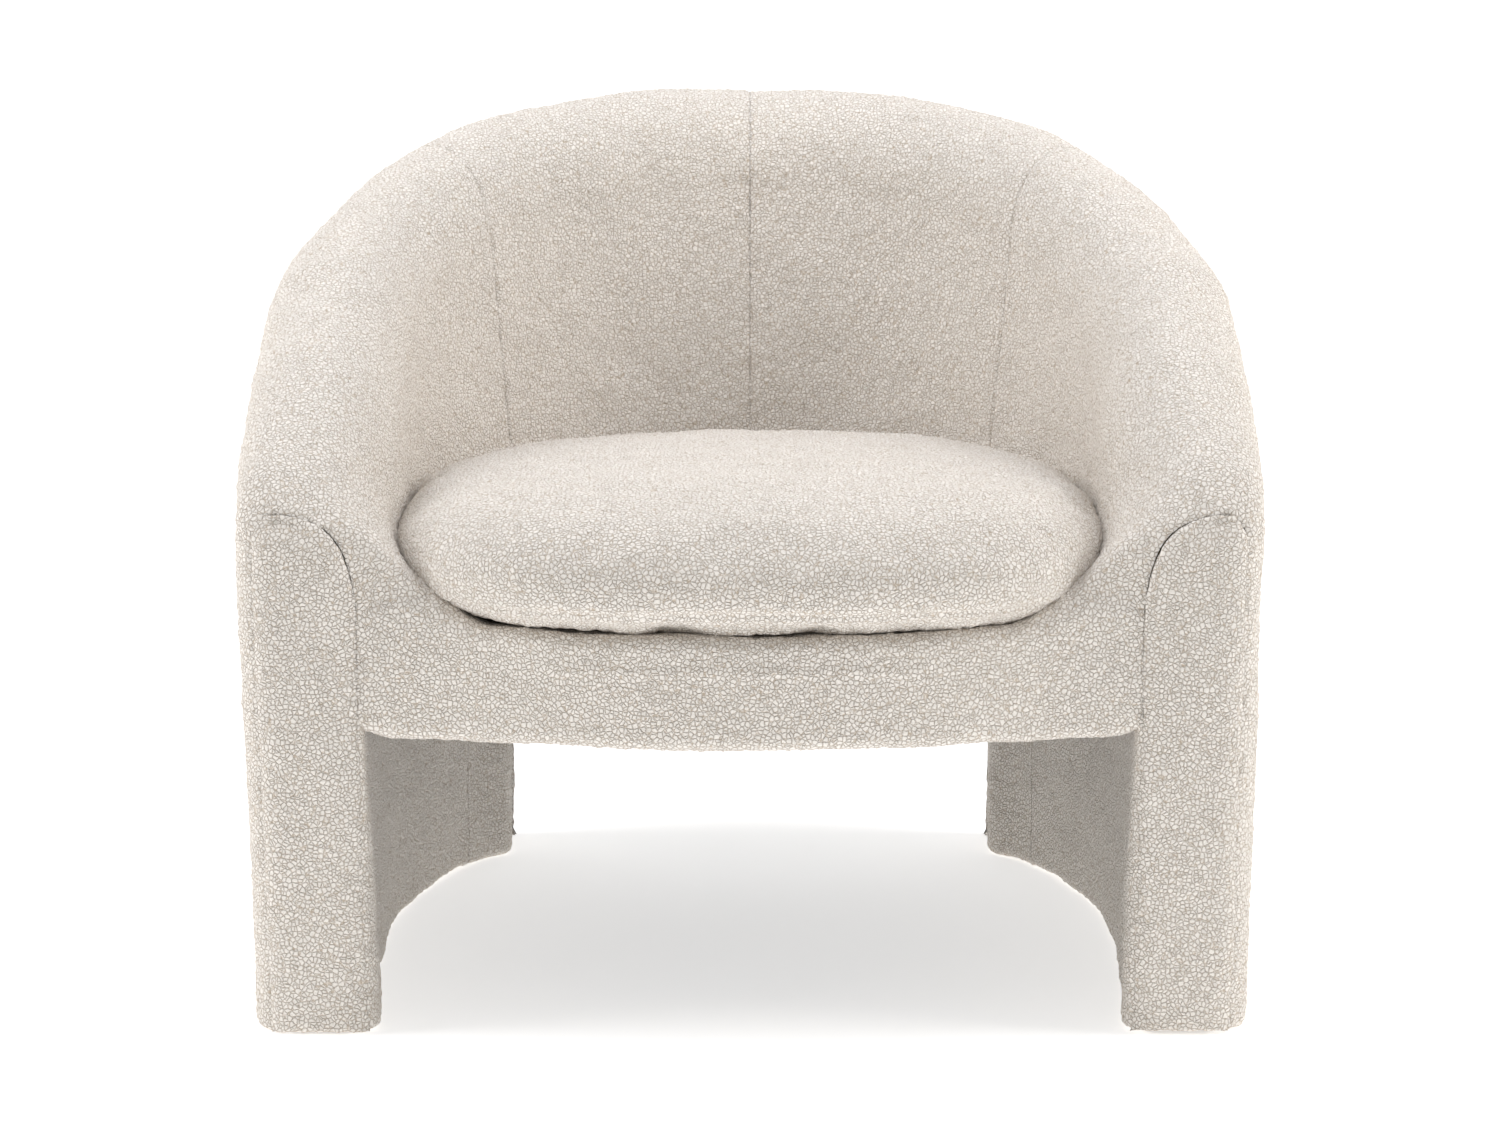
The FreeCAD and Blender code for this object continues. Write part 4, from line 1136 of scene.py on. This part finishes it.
@dataclass
class SeatCushion:
    """The loose cushion: a crowned, bull-nosed form swollen by a cloth simulation."""

    wardrobe: Wardrobe
    front_plane: float
    half: float = 0.2760
    behind: float = 0.2735
    ahead: float = 0.3330
    middle_behind: float = 0.290
    bottom: float = 0.3215
    top: float = 0.4090
    front_power: float = 0.58
    swell: float = 0.0085
    voxel: float = 0.0052
    frames: int = 20
    pressure: float = 4.0

    def base(self) -> bpy.types.Object:
        """The cushion's starting form.

        The plan is half an ellipse behind and a superellipse in front. The edge's profile goes out from
        the middle of the underside, round a full nose, and in over a shallow crown: insets and heights
        are read from a smooth list of shares.
        """
        profile = np.array([
            (1.00, 0.000), (0.60, 0.000), (0.25, 0.000), (0.070, 0.003), (0.026, 0.055), (0.007, 0.170),
            (0.000, 0.330), (0.004, 0.470), (0.022, 0.590), (0.060, 0.700), (0.125, 0.795), (0.25, 0.885),
            (0.45, 0.955), (0.70, 0.990), (1.00, 1.000)])
        runs = np.concatenate([[0.0], np.cumsum(np.linalg.norm(np.diff(profile, axis=0), axis=1))])
        spots = np.linspace(0.0, runs[-1], 90)
        inset = np.interp(spots, runs, profile[:, 0])[None, :]
        share = np.interp(spots, runs, profile[:, 1])[None, :]
        angle = np.linspace(0.0, 2 * math.pi, 193)[:-1, None]
        power = np.where(np.sin(angle) >= 0, 1.0, self.front_power)
        across = np.sign(np.cos(angle)) * np.abs(np.cos(angle)) ** power
        along = np.sign(np.sin(angle)) * np.abs(np.sin(angle)) ** power
        middle = self.front_plane + self.middle_behind
        reach = np.where(np.sin(angle) >= 0, self.behind, self.ahead)
        x = self.half * across * (1 - inset)
        y = middle + reach * along * (1 - inset)
        droop = 0.005 * smooth_step((self.front_plane + 0.09 - y) / 0.12)
        z = self.bottom + (self.top - self.bottom) * share - droop
        grid = np.stack([x, y, z + 0 * x], axis=-1)
        numbers = np.arange(grid.shape[0] * grid.shape[1]).reshape(grid.shape[:2])
        numbers = np.concatenate([numbers, numbers[:1]])
        faces = quads(numbers)
        piece = new_object("seat_cushion_pad", grid.reshape(-1, 3), faces.ravel(), np.arange(len(faces)) * 4)
        shape = bmesh.new()
        shape.from_mesh(piece.data)
        bmesh.ops.remove_doubles(shape, verts=shape.verts, dist=1e-4)
        bmesh.ops.recalc_face_normals(shape, faces=shape.faces)
        shape.to_mesh(piece.data)
        shape.free()
        return piece

    def apply_modifier(self, piece: bpy.types.Object) -> None:
        """Replaces the piece's mesh by what its modifiers make of it."""
        graph = bpy.context.evaluated_depsgraph_get()
        made = bpy.data.meshes.new_from_object(piece.evaluated_get(graph), depsgraph=graph)
        piece.modifiers.clear()
        piece.data = made

    def inflate(self, piece: bpy.types.Object) -> None:
        """Remeshes the pad, fills it as a cloth under pressure and caps how far a point may move."""
        remesh = piece.modifiers.new("voxels", "REMESH")
        remesh.mode = "VOXEL"
        remesh.voxel_size = self.voxel
        self.apply_modifier(piece)
        start = self.points(piece)
        cloth = piece.modifiers.new("fill", "CLOTH")
        cloth.settings.use_pressure = True
        cloth.settings.uniform_pressure_force = self.pressure
        cloth.settings.effector_weights.gravity = 0.0
        cloth.settings.quality = 5
        cloth.settings.mass = 0.4
        cloth.settings.tension_stiffness = 30.0
        cloth.settings.compression_stiffness = 30.0
        cloth.settings.bending_stiffness = 1.2
        cloth.point_cache.frame_start = 1
        cloth.point_cache.frame_end = self.frames
        scene = bpy.context.scene
        for number in range(1, self.frames + 1):
            scene.frame_set(number)
        self.apply_modifier(piece)
        scene.frame_set(1)
        moved = self.points(piece) - start
        length = np.linalg.norm(moved, axis=1, keepdims=True)
        LOG.info("cushion swelled by up to %.1f mm", float(length.max()) * 1000)
        held = start + moved * np.minimum(1.0, self.swell / np.maximum(length, 1e-9))
        self.set_points(piece, self.filled_out(held))

    def filled_out(self, points: np.ndarray) -> np.ndarray:
        """Scales the simulated pad to its stated width, depth and top, swell included.

        The cloth doesn't stretch, so as the crown rises the sides draw in; each side is scaled out again.
        """
        middle = self.front_plane + self.middle_behind
        x, y, z = points.T
        y = y - middle
        x = x * (self.half + self.swell) / np.abs(x).max()
        rear, front = y * (self.behind + self.swell) / y.max(), y * (self.ahead + self.swell) / -y.min()
        y = np.where(y > 0, rear, front)
        z = self.bottom + (z - self.bottom) * (self.top + self.swell - self.bottom) / (z.max() - self.bottom)
        return np.stack([x, y + middle, z], axis=-1)

    @staticmethod
    def points(piece: bpy.types.Object) -> np.ndarray:
        """The piece's vertices as an array."""
        flat = np.empty(len(piece.data.vertices) * 3, dtype=np.float32)
        piece.data.vertices.foreach_get("co", flat)
        return flat.reshape(-1, 3).astype(float)

    @staticmethod
    def set_points(piece: bpy.types.Object, points: np.ndarray) -> None:
        """Writes an array back as the piece's vertices."""
        piece.data.vertices.foreach_set("co", points.astype(np.float32).ravel())
        piece.data.update()

    def finish_surface(self, piece: bpy.types.Object) -> None:
        """Rests the underside flat, a little lower in front, sinks its edge seam and raises the curls."""
        points = self.points(piece)
        points[:, 2] = np.maximum(points[:, 2], self.bottom - 0.0035 - 0.006 * smooth_step(
            (self.front_plane + 0.03 - points[:, 1]) / 0.06))
        flat = np.empty(len(points) * 3, dtype=np.float32)
        piece.data.vertices.foreach_get("normal", flat)
        normals = flat.reshape(-1, 3).astype(float)
        side = smooth_step((0.95 - np.abs(normals[:, 2])) / 0.25)
        seam = np.exp(-((points[:, 2] - self.bottom - 0.007) / 0.003) ** 2) * side
        points = points + normals * (curled(points) - 0.0022 * seam)[:, None]
        self.set_points(piece, points)

    def build(self) -> None:
        """Makes, dresses and places the cushion."""
        piece = self.base()
        self.inflate(piece)
        finer = piece.modifiers.new("finer", "SUBSURF")
        finer.levels = 1
        finer.render_levels = 1
        self.apply_modifier(piece)
        piece.data.polygons.foreach_set("use_smooth", np.ones(len(piece.data.polygons), dtype=bool))
        self.finish_surface(piece)
        self.wardrobe.dress(piece, "boucle")
        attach(piece, Body.CUSHION.value)
        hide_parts("cushion_cover", "cushion_foam")
        LOG.info("seat_cushion_pad: %d faces", len(piece.data.polygons))


# ------------------------------------------------------------------------------------------ seat deck

@dataclass
class SeatDeck:
    """What lies under the cushion: a quilted decking pad, and the dust cover under the springs."""

    wardrobe: Wardrobe
    form: BarrelForm
    upholstery: Upholstery

    def deck_grid(self) -> np.ndarray:
        """The deck as a grid of a disc squared off: from the front edge to the back, side to side.

        Each column runs at a fixed share across; its front end lies behind the apron and its rear end on
        half an ellipse. The face is crowned 3 mm and quilted in 60 mm squares.
        """
        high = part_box("deck_cloth")[1]
        half = high[0] - 0.001
        middle = self.form.front_plane + 0.290
        rear = high[1] - middle - 0.001
        share = np.sin(np.linspace(-QUARTER_TURN, QUARTER_TURN, 260))[:, None] * 0.999
        x = half * share
        front = self.upholstery.apron_y(x) + 0.022
        back = middle + rear * np.sqrt(1 - share**2)
        y = front + (back - front) * np.linspace(0.0, 1.0, 260)[None, :]
        rim = np.minimum(np.minimum(y - front, back - y), half * (1 - np.abs(share)) * 2)
        crown = 0.0022 * smooth_step(rim / 0.10)
        soft = np.abs(np.sin(math.pi * x / 0.06)) * np.abs(np.sin(math.pi * y / 0.06))
        quilt = 0.0014 * soft**0.6 * smooth_step(rim / 0.03)
        fall = 0.006 * np.clip(1 - rim / 0.007, 0.0, 1.0) ** 2
        z = high[2] - 0.0035 + crown + quilt - fall
        return even_grid(np.stack([x + 0 * y, y, z], axis=-1), 0.0050)

    def dust_grid(self) -> np.ndarray:
        """The dust cover: stretched between the apron, the legs and the back, with 2.5 mm of sag.

        The last three rows and columns are left off, so that the counts are 4k + 1.
        """
        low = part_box("dust_cover")[0]
        lines = np.linspace(0.0, 1.0, 120)
        turns = np.linspace(-0.88, self.upholstery.nose_turn(), 120)
        side = self.upholstery.inner_line(turns)
        front_x = side[0, 0] - 0.004
        share = np.linspace(-1.0, 1.0, 120)[:, None]
        start = self.upholstery.apron_y(share * front_x)[:, 0] + 0.030
        edge_x = np.interp(lines, (turns - turns[0]) / (turns[-1] - turns[0]), side[:, 0]) - 0.004
        edge_x = np.minimum(edge_x, front_x)
        half = self.upholstery.nose_half
        end = 0.370 - 0.5 * (share[:, 0] * half) ** 2 / 0.40
        x = share * edge_x[None, :]
        y = start[:, None] + (end - start)[:, None] * lines[None, :]
        z = low[2] + 0.0008 + 0 * x
        z = z - 0.0025 * (1 - share**2) * (1 - (2 * lines[None, :] - 1) ** 2)
        return np.stack([x, y, z], axis=-1)[:-3, :-3]

    def build(self) -> None:
        """Makes the deck pad and the dust cover."""
        deck = Panel("seat_deck_pad", self.deck_grid(), (), ["deck_cloth", "deck_pad"], False,
                     thickness=0.009, fill=0.5)
        piece = deck.build()
        self.wardrobe.dress(piece, "deck_cloth")
        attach(piece, Body.FRAME.value)
        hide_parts(*deck.stands_for)
        self.build_dust_cover()

    def build_dust_cover(self) -> None:
        """The black non-woven cover stapled under the seat rails."""
        grid = self.dust_grid()
        under = grid[::FINE_STEP, ::FINE_STEP] + np.array([0.0, 0.0, 0.0008])
        piece = closed_panel("dust_cover_sheet", grid, under, True)
        self.wardrobe.dress(piece, "dust_cloth")
        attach(piece, Body.FRAME.value)
        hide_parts("dust_cover")


# ------------------------------------------------------------------------------------------ frame nodes

FINISH_BY_WORD = (
    ("zip_slider", "zip_slider"), ("zip", "zip_tape"), ("staples", "plated_steel"),
    ("clips", "plated_steel"), ("springs", "spring_steel"), ("glides", "glide_plastic"),
    ("plate", "plywood"), ("board", "plywood"), ("top_rail", "plywood"), ("foam", "foam"),
    ("deck_cloth", "deck_cloth"), ("pad", "felt"), ("dust", "dust_cloth"), ("cover", "boucle"),
)


@dataclass
class FrameParts:
    """The frame's own pieces that stay as they are and take a better finish."""

    wardrobe: Wardrobe

    @staticmethod
    def finish_of(node: str) -> str:
        """The finish of the first word in the list that the node's name holds; bare timber if none does."""
        return next((slot for word, slot in FINISH_BY_WORD if word in node), "timber")

    def build(self) -> None:
        """Assigns a finish to every node's slots."""
        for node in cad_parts:
            thing = bpy.data.objects.get(node)
            if thing is None or thing.type != "MESH":
                continue
            finish = self.wardrobe.made[self.finish_of(node)]
            if not thing.material_slots:
                thing.data.materials.append(finish)
            for slot in thing.material_slots:
                slot.material = finish


# ------------------------------------------------------------------------------------------ studio

@dataclass(frozen=True)
class Softbox:
    """A rectangular soft light aimed at a point."""

    name: str
    place: tuple[float, float, float]
    target: tuple[float, float, float]
    size: tuple[float, float]
    power: float
    colour: str = "#FFFFFF"

    def build(self) -> None:
        """Adds the light."""
        light = bpy.data.lights.new(self.name, "AREA")
        light.shape = "RECTANGLE"
        light.size, light.size_y = self.size
        light.energy = self.power
        light.color = linear(self.colour)[:3]
        lamp = bpy.data.objects.new(self.name, light)
        bpy.context.scene.collection.objects.link(lamp)
        lamp.location = self.place
        away = np.array(self.place) - np.array(self.target)
        flat = math.hypot(away[0], away[1])
        lamp.rotation_euler = (math.atan2(flat, away[2]), 0.0, math.atan2(away[0], -away[1]))


@dataclass
class Studio:
    """Camera, soft lights and a plain white floor."""

    front_plane: float
    camera_back: float = 2.115
    camera_height: float = 0.678
    camera_pitch: float = 8.5
    focal_length: float = 69.6
    floor_glow: float = 0.55
    surround_glow: float = 0.37

    def build(self) -> None:
        """Makes the studio."""
        self.build_camera()
        self.build_floor()
        self.build_world()
        high, low = (0.9, 1.6), (1.2, 1.2)
        for light in (
                Softbox("left_softbox", (-0.95, -0.10, 2.2), (0.28, 0.0, 0.45), high, 15.0, "#F3F7FF"),
                Softbox("right_softbox", (0.95, -0.10, 2.2), (-0.28, 0.0, 0.45), high, 14.0, "#F5F7FF"),
                Softbox("low_left_softbox", (-1.9, -0.30, 1.6), (0.25, 0.0, 0.42), low, 18.0, "#FFFBF8"),
                Softbox("low_right_softbox", (1.9, -0.30, 1.6), (-0.25, 0.0, 0.42), low, 20.0, "#FFFBF6")):
            light.build()
        view = bpy.context.scene.view_settings
        view.view_transform = "Standard"
        view.look = "None"

    def build_camera(self) -> None:
        """The camera, square on, a little above the rim and tipped down."""
        lens = bpy.data.cameras.new("camera")
        lens.lens = self.focal_length
        lens.sensor_width = 36.0
        lens.clip_end = 60.0
        camera = bpy.data.objects.new("camera", lens)
        bpy.context.scene.collection.objects.link(camera)
        camera.location = (0.0, self.front_plane - self.camera_back, self.camera_height)
        camera.rotation_euler = (math.radians(90.0 - self.camera_pitch), 0.0, 0.0)
        bpy.context.scene.camera = camera

    def build_floor(self) -> None:
        """A white sweep: a flat floor that turns up behind through a quarter circle into a wall."""
        half_wide, near, far, bend, tall = 7.0, -7.0, 3.2, 1.2, 4.5
        turn = np.linspace(0.0, QUARTER_TURN, 17)
        y = np.concatenate([[near], far + bend * np.sin(turn), [far + bend]])
        z = np.concatenate([[0.0], bend * (1 - np.cos(turn)), [tall]])
        x = np.array([-half_wide, half_wide])[:, None]
        grid = np.stack([x + 0 * y, y + 0 * x, z + 0 * x], axis=-1)
        faces = quads(np.arange(grid.shape[0] * grid.shape[1]).reshape(grid.shape[:2]))
        floor = new_object("floor", grid.reshape(-1, 3), faces.ravel(), np.arange(len(faces)) * 4)
        material, tree, shader = new_material("white_vinyl_sweep")
        place = add_node(tree, "ShaderNodeTexCoord").outputs["Object"]
        grain = add_node(tree, "ShaderNodeTexNoise", inputs={"Vector": place, "Scale": 30.0})
        colour = ramp(tree, grain.outputs["Fac"], ((0.4, "#F8F8F7"), (0.6, "#FAFAFA")))
        tree.links.new(colour, shader.inputs["Base Color"])
        shader.inputs["Roughness"].default_value = 0.9
        shader.inputs["Specular IOR Level"].default_value = 0.1
        shader.inputs["Emission Color"].default_value = (1.0, 1.0, 1.0, 1.0)
        shader.inputs["Emission Strength"].default_value = self.floor_glow
        floor.data.materials.append(material)

    def build_world(self) -> None:
        """An even white surround."""
        world = bpy.data.worlds.new("surround")
        world.use_nodes = True
        tree = world.node_tree
        tree.nodes.clear()
        light = add_node(tree, "ShaderNodeBackground", inputs={
            "Color": (1.0, 1.0, 1.0, 1.0), "Strength": self.surround_glow})
        add_node(tree, "ShaderNodeOutputWorld", inputs={"Surface": light.outputs[0]})
        bpy.context.scene.world = world


# ------------------------------------------------------------------------------------------ the whole


def main() -> None:
    """Builds the chair round the frame, then the studio."""
    logging.basicConfig(level=logging.INFO)
    high = CAD_BOX[1]
    front_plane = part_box("arm_front_cover_left")[0][1]
    form = BarrelForm(half_width=float(high[0]), front_plane=float(front_plane), rim_back=float(high[2]))
    wardrobe = Wardrobe()
    wardrobe.build()
    upholstery = Upholstery(form, wardrobe)
    for part in (FrameParts(wardrobe), upholstery, SeatCushion(wardrobe, form.front_plane),
                 SeatDeck(wardrobe, form, upholstery), Studio(form.front_plane)):
        part.build()
        LOG.info("%s done", type(part).__name__)


if __name__ == "__main__":
    main()
